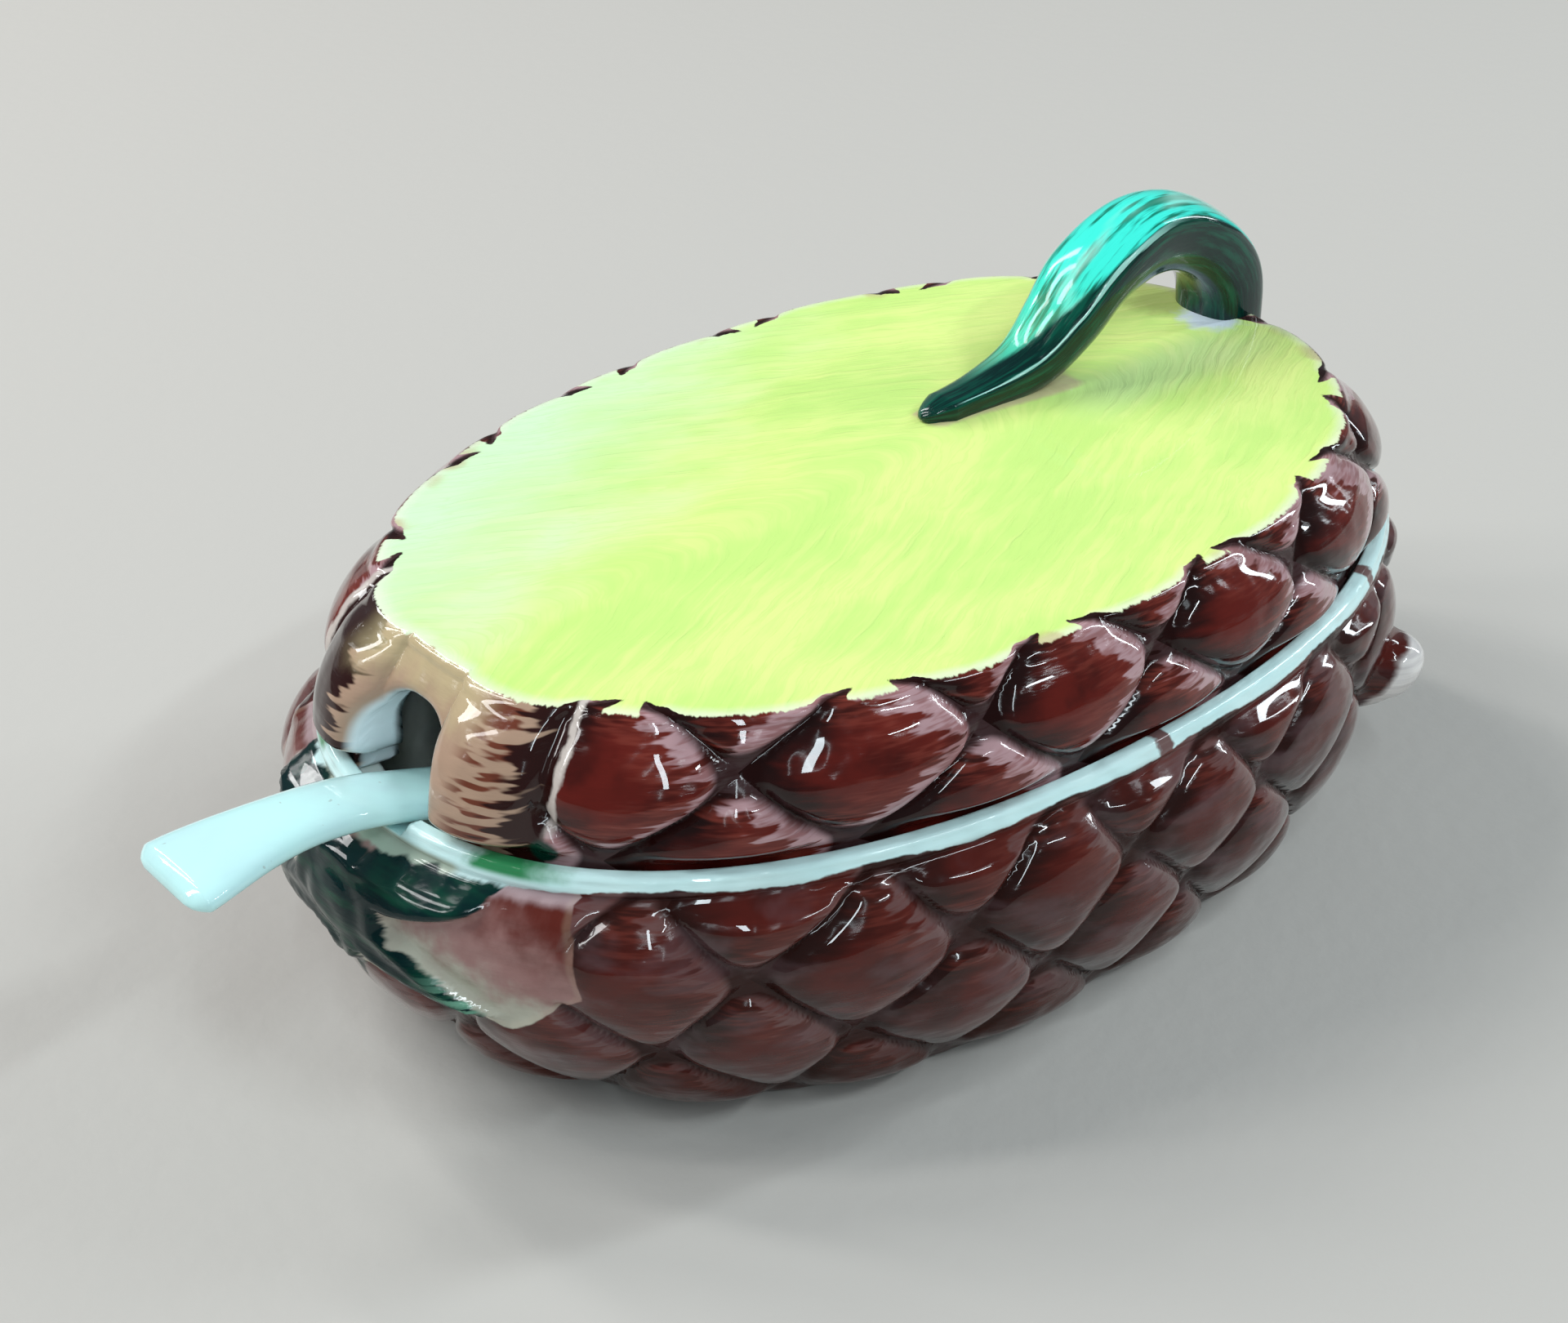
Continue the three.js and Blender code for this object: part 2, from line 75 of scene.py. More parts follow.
# Shapes: powers of the ovals and of a scale's arches and outline, the size of the groove along the outline,
# and how the clay's unevenness runs, as waves round the girth and turn for each millimetre upwards
OVAL_POWER = 2.2
NOTCH_POWER = 2.6
SPOON_POWER = 2.4
LEFT_FLANK, RIGHT_FLANK = 1.8, 2.9
CUSHION_POWER = 0.66
OUTLINE_POWER = 3.5
GROOVE_WIDTH, GROOVE_DEPTH = 0.075, 0.32
WAVES = ((5, 0.11), (9, 0.21), (14, -0.17), (23, 0.37))
SIDEWAYS = np.array([0.0, 1.0, 0.0])

# The stem: how far it lies on the slice and how far its underside is cut flat there, in millimetres from
# its tip, the line it follows, and the sharper edges of its section
STEM_LIES, STEM_FLAT = 21, 29
STEM_LINE = (
    # part of the way to the foot, height as a part of the arch's rise
    (0, 0.06), (0.19, 0.11), (0.32, 0.22), (0.42, 0.48), (0.5, 0.73), (0.6, 0.88),
    (0.69, 0.925), (0.8, 0.85), (0.91, 0.62), (0.98, 0.3), (1, -0.25),
)
STEM_EDGES = ((148, 1.5), (228, 0.9))  # direction in degrees round the section, how much sharper it is there

# Studio: light all round, what the camera sees far off, how far in millimetres the camera stands off its line
# to the dish and below it, and the lamps in metres and watts
SKY, SKY_STRENGTH = (0.92, 0.95, 1), 0.18
BACKDROP = (0.56, 0.54, 0.5)
GREY = (0.5, 0.5, 0.5)
CAMERA_SHIFT, CAMERA_DROP = (-11.9, 43.7), 30.5
LAMP_AIM = (0, 0, 0.03)
LAMPS = (
    # name, place, width and height, power, colour
    ("window pane 1", (-0.80, 0.54, 0.85), (0.11, 0.75), 4.3, (1, 1, 1)),
    ("window pane 2", (-0.45, 0.75, 0.85), (0.11, 0.75), 4.3, (1, 1, 1)),
    ("window pane 3", (-0.10, 0.96, 0.85), (0.11, 0.75), 4.3, (1, 1, 1)),
    ("near window", (-0.5, -0.75, 0.9), (0.065, 0.8), 4.8, (0.82, 0.94, 1)),
    ("right window", (0.9, -0.3, 0.55), (0.065, 0.8), 4.6, (0.86, 0.95, 1)),
    ("high near window", (0.25, -0.85, 0.95), (0.4, 0.05), 3.0, (0.86, 0.95, 1)),
)

GROUP_NAMES = ("dish", "lid", "handle", "spoon", "colours", "studio")


# Sizes and colours


def length_prop(name, description, millimetres):
    """A length that a user may change, given in millimetres and held in metres."""
    default = millimetres / 1000
    return FloatProperty(
        name=name, description=description, default=default, min=0, unit="LENGTH", precision=4
    )


def angle_prop(name, description, degrees):
    """An angle that a user may change, given in degrees and held in radians."""
    return FloatProperty(name=name, description=description, default=math.radians(degrees), subtype="ANGLE")


def linear(red, green, blue):
    """A colour written as 0 to 255 in the screen's scale, in linear light: below 10 a straight line, above
    it a curve."""
    parts = np.array((red, green, blue)) / 255
    return tuple(np.where(parts < 0.04045, parts / 12.92, ((parts + 0.055) / 1.055) ** 2.4).tolist())


def colour_prop(name, description, red, green, blue):
    """A glaze colour that a user may change."""
    default = linear(red, green, blue)
    return FloatVectorProperty(
        name=name, description=description, subtype="COLOR", size=3, min=0, max=1, default=default
    )


def own_props(group):
    """The properties that this script gives a group."""
    return [prop for prop in group.bl_rna.properties if prop.identifier not in ("rna_type", "name")]


def in_millimetres(group):
    """The group's values by name, with every length turned from metres to millimetres."""
    values = {}
    for prop in own_props(group):
        value = getattr(group, prop.identifier)
        values[prop.identifier] = value * 1000 if getattr(prop, "unit", "NONE") == "LENGTH" else value
    return SimpleNamespace(**values)


class DishSizes(bpy.types.PropertyGroup):
    """Sizes of the dish, of its scales and of its crown."""

    height: length_prop("Height", "Height of the rim above the table", 33.5)
    rim_length: length_prop("Rim length", "Length of the oval rim", 136)
    rim_width: length_prop("Rim width", "Width of the oval rim", 87)
    base_length: length_prop("Base length", "Length of the underside", 111)
    base_width: length_prop("Base width", "Width of the underside", 78)
    belly_length: length_prop("Belly length", "Greatest length of the side", 140)
    belly_width: length_prop("Belly width", "Greatest width of the side", 93.4)
    belly_shift: length_prop("Belly shift", "How far the belly lies towards the spoon end", 2.7)
    wall: length_prop("Wall", "Thickness of the side", 4.2)
    floor: length_prop("Floor", "Thickness of the floor", 4.5)
    band: length_prop("Rim band", "Height of the smooth white band under the rim", 2.3)
    rim_wall: length_prop("Rim wall", "Width of the rim outside the ledge", 1.9)
    ledge_drop: length_prop("Ledge drop", "How far the ledge lies under the rim", 2.2)
    ledge_width: length_prop("Ledge width", "Width of the ledge that carries the lid", 3.2)
    scales: IntProperty(name="Scales", description="Scales in each row round the dish", default=17, min=3)
    scale_height: length_prop("Scale height", "Height of one scale", 20)
    scale_level: length_prop("Scale level", "Height of the middle of the main row of scales", 23.5)
    relief: length_prop("Relief", "How far a scale stands out of its grooves", 2)
    crown_level: length_prop("Crown level", "Height of the crown's middle", 25)
    leaf_relief: length_prop("Leaf relief", "How far the leaves stand out of the smooth patch", 2)
    stub_place: length_prop("Stub place", "Distance of the cut stub from the spoon end, along the rim", 140.2)
    stub_level: length_prop("Stub level", "Height of the cut stub's middle", 17.5)
    stub_reach: length_prop("Stub reach", "How far the cut stub stands out", 5)
    channel_depth: length_prop("Channel depth", "Depth of the spoon's channel in the rim", 2)


class LidSizes(bpy.types.PropertyGroup):
    """Sizes of the lid, of its scales and of its notch."""

    rise: length_prop("Rise", "Height of the slice above the rim", 14)
    slice_length: length_prop("Slice length", "Length of the flat slice", 120)
    slice_width: length_prop("Slice width", "Width of the flat slice", 77.4)
    edge: length_prop("Slice edge", "Radius of the slice's rounded edge", 1.2)
    swell: length_prop("Swell", "How far the side swells between rim and slice", 1.6)
    wall: length_prop("Wall", "Thickness of the side", 3.6)
    top: length_prop("Top", "Thickness of the slice", 4)
    clearance: length_prop("Clearance", "Gap between the lid's foot and the dish", 0.35)
    scales: IntProperty(name="Scales", description="Scales in each row round the lid", default=14, min=3)
    scale_height: length_prop("Scale height", "Height of one scale", 17)
    scale_level: length_prop("Scale level", "Height of the middle of the main row above the rim", 9)
    relief: length_prop("Relief", "How far a scale stands out of its grooves", 2)
    notch_width: length_prop("Notch width", "Width of the notch for the spoon", 14)
    notch_height: length_prop("Notch height", "Height of the notch above the rim", 9.6)
    notch_flare: length_prop("Notch flare", "Radius of the rounded ends of the lobes beside the notch", 2.4)
    lobe_width: length_prop("Lobe width", "Width of each lobe beside the notch", 13)
    lobe_swell: length_prop("Lobe swell", "How far the lobes stand out", 3)


class HandleSizes(bpy.types.PropertyGroup):
    """Sizes of the stem that serves as a handle."""

    start: length_prop("Start", "Distance of the stem's tip from the middle of the slice", 8.5)
    rise: length_prop("Rise", "Height of the arch's middle line above the slice", 14.6)
    offset: length_prop("Offset", "Distance of the stem from the slice's middle line", 3.6)
    bend: length_prop("Bend", "How far the stem bends to the near side on its way up", 0.8)
    width: length_prop("Width", "Width at the foot", 10.5)
    thickness: length_prop("Thickness", "Thickness at the foot", 8.8)
    climb_thickness: length_prop("Climb thickness", "Thickness where the stem climbs", 6.6)
    tip_width: length_prop("Tip width", "Width at the tip", 5)
    tip_thickness: length_prop("Tip thickness", "Thickness at the tip", 3.4)


class SpoonSizes(bpy.types.PropertyGroup):
    """Sizes of the spoon."""

    stem_width: length_prop("Stem width", "Width of the stem in the notch", 8.5)
    stem_thickness: length_prop("Stem thickness", "Thickness of the stem", 3.2)
    end_width: length_prop("End width", "Width of the stem's flared end", 12.6)
    reach: length_prop("Reach", "Length of the stem outside the rim", 25)
    slope: angle_prop("Slope", "Slope of the stem in the notch", 20)
    end_slope: angle_prop("End slope", "Slope of the stem's end", -7)
    bowl_length: length_prop("Bowl length", "Length of the bowl", 25)
    bowl_width: length_prop("Bowl width", "Width of the bowl", 11.4)
    bowl_depth: length_prop("Bowl depth", "Depth of the bowl", 4)
    bowl_thickness: length_prop("Bowl thickness", "Thickness of the bowl", 1.8)
    clearance: length_prop("Clearance", "Gap between the stem and its channel", 0.35)


class GlazeColours(bpy.types.PropertyGroup):
    """Colours of the painted glazes."""

    maroon: colour_prop("Maroon", "Body of a scale", 98, 26, 19)
    # dark maroon is paint, and also serves as painted shade in the grooves and on the scales' left flanks
    maroon_dark: colour_prop("Dark maroon", "Grooves and left flanks of the scales", 30, 5, 4)
    brown: colour_prop("Brown", "Thin maroon strokes over the pale clay", 124, 52, 42)
    pink: colour_prop("Dusty pink", "Bare right margin of the lid's scales", 186, 150, 154)
    mauve: colour_prop("Mauve", "Bare right margin of the dish's scales", 134, 98, 96)
    beige: colour_prop("Beige", "Lobes beside the notch", 178, 148, 126)
    lime: colour_prop("Lime", "Flesh of the slice", 206, 243, 134)
    lemon: colour_prop("Lemon", "Brighter flesh of the slice", 232, 252, 150)
    cream: colour_prop("Cream", "Rounded edge of the slice", 244, 248, 226)
    white: colour_prop("White", "Rim and inside", 236, 250, 253)
    teal: colour_prop("Dark teal", "Crown", 1, 34, 36)
    leaf: colour_prop("Leaf green", "Leaves and brushed green", 10, 74, 54)
    mint: colour_prop("Mint", "Lit side of the stem", 66, 244, 224)
    spoon: colour_prop("Spoon white", "Glaze of the spoon", 204, 252, 250)
    bisque: colour_prop("Bisque", "Unglazed underside", 205, 184, 156)


class StudioSettings(bpy.types.PropertyGroup):
    """Camera, lamps and floor."""

    turn: angle_prop("Turn", "Camera's turn round the dish", -40.7)
    tilt: angle_prop("Tilt", "Camera's height as an angle", 32.5)
    roll: angle_prop("Roll", "Camera's roll", -0.5)
    distance: length_prop("Distance", "Camera's distance", 311)
    lens: FloatProperty(name="Lens", description="Focal length in millimetres", default=56.25)
    floor: colour_prop("Floor", "Plain floor", 198, 195, 189)


# Surfaces


def smooth(values, low, high):
    """Smooth step: 0 below low and 1 above high, and 3 t t - 2 t t t between."""
    t = np.clip((values - low) / (high - low), 0, 1)
    return t * t * (3 - 2 * t)


def lerp(first, last, part):
    """Straight blend from first to last."""
    return first + (last - first) * part


def points_of(x, y, z):
    """Points from coordinates whose shapes fit together."""
    return np.stack(np.broadcast_arrays(x, y, z), -1)


def signed_power(values, power):
    """The power of a number's size, with the number's sign."""
    return np.sign(values) * np.abs(values) ** power


def oval(angle, half_length, half_width):
    """Point and outward direction on an oval: x is the signed power 2/n of the cosine times the half
    length, and y the same of the sine times the half width, with n the oval's power."""
    x = half_length * signed_power(np.cos(angle), 2 / OVAL_POWER)
    y = half_width * signed_power(np.sin(angle), 2 / OVAL_POWER)
    across = signed_power(x / half_length, OVAL_POWER - 1) / half_length
    beside = signed_power(y / half_width, OVAL_POWER - 1) / half_width
    size = np.hypot(across, beside)
    return x, y, across / size, beside / size


class Girth:
    """The rim measured round: turns a distance along it into the oval's angle."""

    def __init__(self, dish):
        self.angles = np.linspace(0, 2 * np.pi, 20001)
        x, y, _, _ = oval(self.angles, dish.rim_length / 2, dish.rim_width / 2)
        self.lengths = np.concatenate([[0], np.cumsum(np.hypot(np.diff(x), np.diff(y)))])
        self.total = self.lengths[-1]

    def angle(self, along):
        """Angle at a distance along the rim, which is counted from the spoon end."""
        turns = along / self.total + 0.5
        return np.interp((turns % 1) * self.total, self.lengths, self.angles)

    def columns(self, count, closer):
        """Distances along the rim for the columns of a grid, from the far end all the way round.  `closer`
        gives places as (along, width, factor): near each, columns lie closer by the factor."""
        fine = np.linspace(-self.total / 2, self.total / 2, 14401)
        density = np.ones_like(fine)
        for place, width, factor in closer:
            density += (factor - 1) * np.exp(-(((fine - place) / width) ** 2))
        reached = np.concatenate([[0], np.cumsum((density[1:] + density[:-1]) / 2)])
        return np.interp(np.arange(count) / count, reached / reached[-1], fine)


def wobble(along, level, girth, seed, size):
    """Slow unevenness of hand-finished clay: a sum of sine waves, each given as how many go round the girth
    and how much it turns for each millimetre upwards."""
    turn = 2 * np.pi * along / girth
    total = 0
    for k, (waves, rise) in enumerate(WAVES):
        total = total + np.sin(waves * turn + rise * level + seed * (k + 1.7)) / (k + 1.5)
    return total * size


def net_of(along, level, girth, count, height, middle, shift, seed):
    """Coordinates on the net of diamonds: across plus up and across minus up, both 0 in a scale's middle,
    with the net drawn a little unevenly."""
    wide = along + wobble(along, level, girth, seed, 0.8)
    high = level + wobble(along, level, girth, seed + 3, 0.55)
    across = wide * count / girth + shift
    up = (high - middle) / height
    return across + up, across - up


def cushion(first, second):
    """Swelling of a scale: the product of two arches over the net's coordinates, low on the left and steep
    on the right, less a groove along its rounded outline."""
    one, other = (2 * (v - np.round(v)) for v in (first, second))
    arches = 1
    for side in (one, other):
        arches = arches * (1 - np.abs(side) ** np.where(side < 0, LEFT_FLANK, RIGHT_FLANK))
    outline = (np.abs(one) ** OUTLINE_POWER + np.abs(other) ** OUTLINE_POWER) ** (1 / OUTLINE_POWER)
    groove = np.exp(-(((1 - np.minimum(outline, 1)) / GROOVE_WIDTH) ** 2))
    return np.clip(arches, 0, None) ** CUSHION_POWER - GROOVE_DEPTH * groove


def skin_mesh(name, points, maps, facts):
    """Makes an object from a closed grid of points (rows, columns, 3) in millimetres.  Columns close round,
    and the first and last rows shrink to a pole each.  `maps` holds UV maps of (rows, columns + 1, 2),
    whose last column goes on where the first began; `facts` holds point values of (rows, columns)."""
    rows, columns, _ = points.shape
    inner = points[1:-1].reshape(-1, 3)
    vertices = np.concatenate([points[:1, 0], inner, points[-1:, 0]]) / 1000
    index = np.arange(inner.shape[0]).reshape(rows - 2, columns) + 1
    index = np.concatenate([index, index[:, :1]], axis=1)
    row, column = np.mgrid[1 : rows - 2, 0:columns]

    def corners(steps):
        """Rows and columns of the corners of the faces, for the given steps from each face's first
        corner."""
        return (
            np.stack([row + down for down, _ in steps], -1).reshape(-1, len(steps)),
            np.stack([column + over for _, over in steps], -1).reshape(-1, len(steps)),
        )

    quads = corners(((0, 0), (0, 1), (1, 1), (1, 0)))
    faces = index[quads[0] - 1, quads[1]]
    ring = np.arange(columns)
    last = len(vertices) - 1
    start = np.stack([np.zeros(columns, int), index[0, ring + 1], index[0, ring]], -1)
    end = np.stack([np.full(columns, last), index[-1, ring], index[-1, ring + 1]], -1)
    start_corners = (np.tile([0, 1, 1], (columns, 1)), np.stack([ring, ring + 1, ring], -1))
    end_rows = np.tile([rows - 1, rows - 2, rows - 2], (columns, 1))
    end_corners = (end_rows, np.stack([ring, ring, ring + 1], -1))
    mesh = bpy.data.meshes.new(name)
    mesh.from_pydata(vertices.tolist(), [], start.tolist() + faces.tolist() + end.tolist())
    loop_rows, loop_columns = (
        np.concatenate([part[k].ravel() for part in (start_corners, quads, end_corners)]) for k in (0, 1)
    )
    for title, values in maps.items():
        layer = mesh.uv_layers.new(name=title)
        layer.data.foreach_set("uv", values[loop_rows, loop_columns].astype(np.float32).ravel())
    for title, values in facts.items():
        attribute = mesh.attributes.new(title, "FLOAT", "POINT")
        flat = np.concatenate([values[:1, 0], values[1:-1].ravel(), values[-1:, 0]])
        attribute.data.foreach_set("value", flat.astype(np.float32))
    mesh.polygons.foreach_set("use_smooth", np.ones(len(mesh.polygons), bool))
    mesh.update()
    piece = bpy.data.objects.new(name, mesh)
    bpy.context.scene.collection.objects.link(piece)
    return piece


def round_again(values, period=0):
    """A map's values with the first column repeated at the end, one period on."""
    return np.concatenate([values, values[:, :1] + period], axis=1)


def skin_maps(along, level, net, girth, scales):
    """UV maps of a skin: its millimetres along the rim and upwards, and its net of diamonds."""
    return {
        "skin": np.stack([round_again(along, girth), round_again(level)], -1),
        "net": np.stack([round_again(part, scales) for part in net], -1),
    }


# Dish


class Dish:
    """The dish's side and its crown as formulas of the distance along the rim and of the level."""

    LEAVES = (
        # direction in degrees, foot above the crown's middle, length, width, pointedness
        (14, 3.0, 18.0, 6.4, 0.0),
        (-19, -0.5, 19.5, 7.0, 1.0),
        (-90, 0.0, 12.0, 7.0, 1.0),
    )
    CROWN_RADIUS = 7.0
    PATCH_REACH = 24.5
    PATCH_FOOT = 17.0
    PATCH_LOW_REACH = 19.2
    STUB_RADIUS = 4.8
    SHOULDER, SHOULDER_PART = 0.68, 0.32

    def __init__(self, sizes):
        self.sizes = sizes
        self.girth = Girth(sizes)
        self.band_bottom = sizes.height - sizes.band
        self.ledge = sizes.height - sizes.ledge_drop

    def half_sizes(self, level):
        """Half length, half width and shift of the side: from the belly a cube takes it in towards the
        base, and a square over the top third takes it in towards the rim."""
        s = self.sizes
        up = np.clip(level / s.height, 0, 1)
        shoulder = np.clip((up - self.SHOULDER) / self.SHOULDER_PART, 0, None) ** 2
        halves = []
        for base, belly, rim in (
            (s.base_length, s.belly_length, s.rim_length),
            (s.base_width, s.belly_width, s.rim_width),
        ):
            halves.append((belly - (belly - base) * (1 - up) ** 3 - (belly - rim) * shoulder) / 2)
        return halves[0], halves[1], s.belly_shift * (1 - shoulder)

    def side(self, along, level, out, inset=0):
        """Points of the side moved outwards by `out`, or on the oval that is smaller all round by an
        inset."""
        half_length, half_width, shift = self.half_sizes(level)
        x, y, across, beside = oval(self.girth.angle(along), half_length - inset, half_width - inset)
        return points_of(x + out * across - shift, y + out * beside, level)

    def rim(self, along, level, inset):
        """Points on the rim's oval, smaller all round by an inset."""
        s = self.sizes
        x, y, across, beside = oval(self.girth.angle(along), s.rim_length / 2, s.rim_width / 2)
        return points_of(x - inset * across, y - inset * beside, level)

    def net(self, along, level):
        """Net of diamonds on the side."""
        s = self.sizes
        return net_of(along, level, self.girth.total, s.scales, s.scale_height, s.scale_level, 0.5, 1.3)

    def leaves(self, along, level):
        """How far a place lies inside the crown, in millimetres: the most that any leaf or the middle
        gives.  A leaf is an oval lens along its direction, or a wedge with rounded sides where it is
        pointed."""
        away = np.abs(along)
        up = level - self.sizes.crown_level
        inside = self.CROWN_RADIUS - np.hypot(away, up * 1.15)
        for degrees, foot, reach, width, pointed in self.LEAVES:
            angle = math.radians(degrees)
            forward = away * math.cos(angle) + (up - foot) * math.sin(angle)
            aside = (up - foot) * math.cos(angle) - away * math.sin(angle)
            part = np.clip(forward / reach, 0, 1.2)
            blunt = np.sqrt(np.clip(1 - np.clip(part, 0, 1) ** 5, 0, 1)) * smooth(part, -0.4, 0.5)
            sharp = np.clip(1 - part**1.6, -0.3, 1)
            half = width / 2 * lerp(blunt, sharp, pointed)
            distance = half - np.abs(aside) - 40 * np.clip(part - 1, 0, 1)
            inside = np.maximum(inside, np.where(forward > -2, distance, -9))
        return inside

    def patch(self, along, level):
        """How far a place lies inside the smooth patch round the crown, in millimetres: between slanting
        sides and a lower edge that rises to them."""
        away = np.abs(along)
        sides = self.PATCH_REACH + 0.24 * (self.sizes.height - 1 - level) - away
        below = level - self.PATCH_FOOT - 0.76 * np.clip(away - self.PATCH_LOW_REACH, 0, None)
        return np.minimum(sides, below)

    def stub(self, along, level):
        """How far a place lies inside the cut stub, in millimetres."""
        up = (level - self.sizes.stub_level) * 1.02
        return self.STUB_RADIUS - np.hypot(along - self.sizes.stub_place, up)

    def relief(self, along, level):
        """How far the skin stands out: scales, or a smooth patch with leaves on it, fading at the foot and
        at the rim's band, and the dome of the stub."""
        s = self.sizes
        fade = smooth(level, 0, 5) * (1 - smooth(level, self.band_bottom - 1.4, self.band_bottom))
        patch = smooth(self.patch(along, level), -0.5, 1.5)
        leaf = smooth(self.leaves(along, level), -0.5, 1.1) * patch
        vein = np.exp(-((self.leaves(along, level) - 2.8) ** 2)) * 0.25
        scales = cushion(*self.net(along, level))
        swell = s.relief * lerp(scales, 0.45, patch) + (s.leaf_relief - vein) * leaf
        uneven = wobble(along, level, self.girth.total, 5.1, 0.12)
        inwards = np.clip(self.stub(along, level) / self.STUB_RADIUS, 0, 1)
        dome = np.sqrt(1 - (1 - inwards) ** 2.6) * (inwards > 0)
        return fade * (swell + uneven) - 0.25 * s.relief + s.stub_reach * dome


def arc(radius, first, last, count):
    """Points round an arc, from one angle in degrees to another, as (out, up)."""
    angles = np.radians(np.linspace(first, last, count))
    return radius * np.cos(angles), radius * np.sin(angles)


def path_lengths(inset, level):
    """Length of the profile up to each of its points."""
    return np.concatenate([[0], np.cumsum(np.hypot(np.diff(inset), np.diff(level)))])


def rim_profile(dish):
    """Profile of the rim as insets from its oval and levels: a full band outside, a rounded lip, the wall
    down to the ledge, the ledge, and the rounded mouth of the hollow."""
    s = dish.sizes
    full, lip, inner_lip, mouth = 0.35, 0.7, 0.4, 0.6
    band = np.linspace(0, 1, 8)[1:]
    insets = [-full * np.sin(np.pi * band) ** 0.7]
    levels = [dish.band_bottom + band * (s.band - lip)]
    out, up = arc(lip, 0, 90, 6)
    insets.append(lip - out[1:])
    levels.append(s.height - lip + up[1:])
    out, up = arc(inner_lip, 90, 0, 4)
    insets.append(s.rim_wall - inner_lip + out)
    levels.append(s.height - inner_lip + up)
    insets.append(np.array([s.rim_wall, s.rim_wall, s.rim_wall + 0.2, s.rim_wall + 0.6, s.rim_wall + 1.6]))
    levels.append(dish.ledge + np.array([1.2, 0.5, 0.12, 0, 0]))
    out, up = arc(mouth, 90, 0, 5)
    insets.append(s.rim_wall + s.ledge_width - mouth + out)
    levels.append(dish.ledge - mouth + up)
    return np.concatenate(insets), np.concatenate(levels)


def channel(points, spoon, dish):
    """Lowers points of the rim into the spoon's channel: a sloping floor whose sides rise in a rounded
    step."""
    side_height, play, side_end, reach = 4.5, 0.1, 1.3, 9
    half = spoon.stem_width / 2
    seat = dish.sizes.rim_length / 2 - dish.sizes.rim_wall
    x, beside, level = points[..., 0], np.abs(points[..., 1]), points[..., 2]
    bottom = dish.sizes.height - dish.sizes.channel_depth - (x + seat) * math.tan(spoon.slope)
    lowered = np.minimum(level, bottom + side_height * smooth(beside, half + play, half + side_end))
    return np.where((x < 0) & (beside < reach), lowered, level)


def build_dish(sizes, spoon):
    """The dish as one grid: underside, scaled side, rim, ledge, inner wall and floor, row after row."""
    dish = Dish(sizes)
    along = dish.girth.columns(660, ((0, 14, 2.2), (sizes.stub_place, 7, 1.8), (45, 50, 1.25)))
    rows, levels = [], []

    def add(points, level):
        rows.append(points)
        levels.append(np.full_like(along, level))

    foot, recess = 0.9, 0.6
    for part in (0, 0.3, 0.6, 0.8, 0.86, 0.88, 0.9, 0.93, 0.97):
        ring = dish.side(along, 0.0, dish.relief(along, 0.0), foot) * part
        ring[:, 2] = recess * (1 - smooth(part, 0.86, 0.9))
        add(ring, (part - 1) * 50 - 1)
    for level in dish.band_bottom * np.linspace(0, 1, 82) ** 1.06:
        inset = foot * (1 - math.sqrt(1 - (1 - min(level / foot, 1)) ** 2))
        add(dish.side(along, level, dish.relief(along, level), inset), level)
    insets, heights = rim_profile(dish)
    lengths = path_lengths(np.append(0, insets), np.append(dish.band_bottom, heights))[1:]
    thick = 1 + wobble(along, 0, dish.girth.total, 8.2, 0.05)
    for inset, height, far in zip(insets, heights, lengths):
        add(dish.rim(along, height, np.where(inset < 0, inset * thick, inset)), dish.band_bottom + far)

    far = dish.band_bottom + lengths[-1]
    mouth = sizes.rim_wall + sizes.ledge_width
    wall_top, wall_bottom = dish.ledge - 3, 21.4
    for level in np.linspace(dish.ledge - 1, 7.5, 17):
        part = np.clip((level - wall_bottom) / (wall_top - wall_bottom), 0, 1)
        walls = lerp(dish.side(along, level, 0, sizes.wall), dish.rim(along, level, mouth), part)
        add(walls, far + dish.ledge - level)
    turn = 3
    out, up = arc(turn, 0, -90, 6)
    for over, under in zip(out[1:], up[1:]):
        add(dish.side(along, sizes.floor + turn + under, 0, sizes.wall + turn - over), far + 30 - under)
    edge = rows[-1]
    for part in (0.9, 0.75, 0.55, 0.3, 0):
        add(edge * [part, part, 1], far + 34 + 40 * (1 - part))

    points = np.stack(rows)
    level = np.stack(levels)
    points[..., 2] = channel(points, spoon, dish)
    wide = np.broadcast_to(along, level.shape)
    net = dish.net(wide, np.clip(level, 0, sizes.height))
    maps = skin_maps(wide, level, net, dish.girth.total, sizes.scales)
    facts = {
        "crown": dish.leaves(wide, level),
        "patch": dish.patch(wide, level),
        "stub": dish.stub(wide, level),
    }
    return skin_mesh("pineapple_dish", points, maps, facts)


# Lid


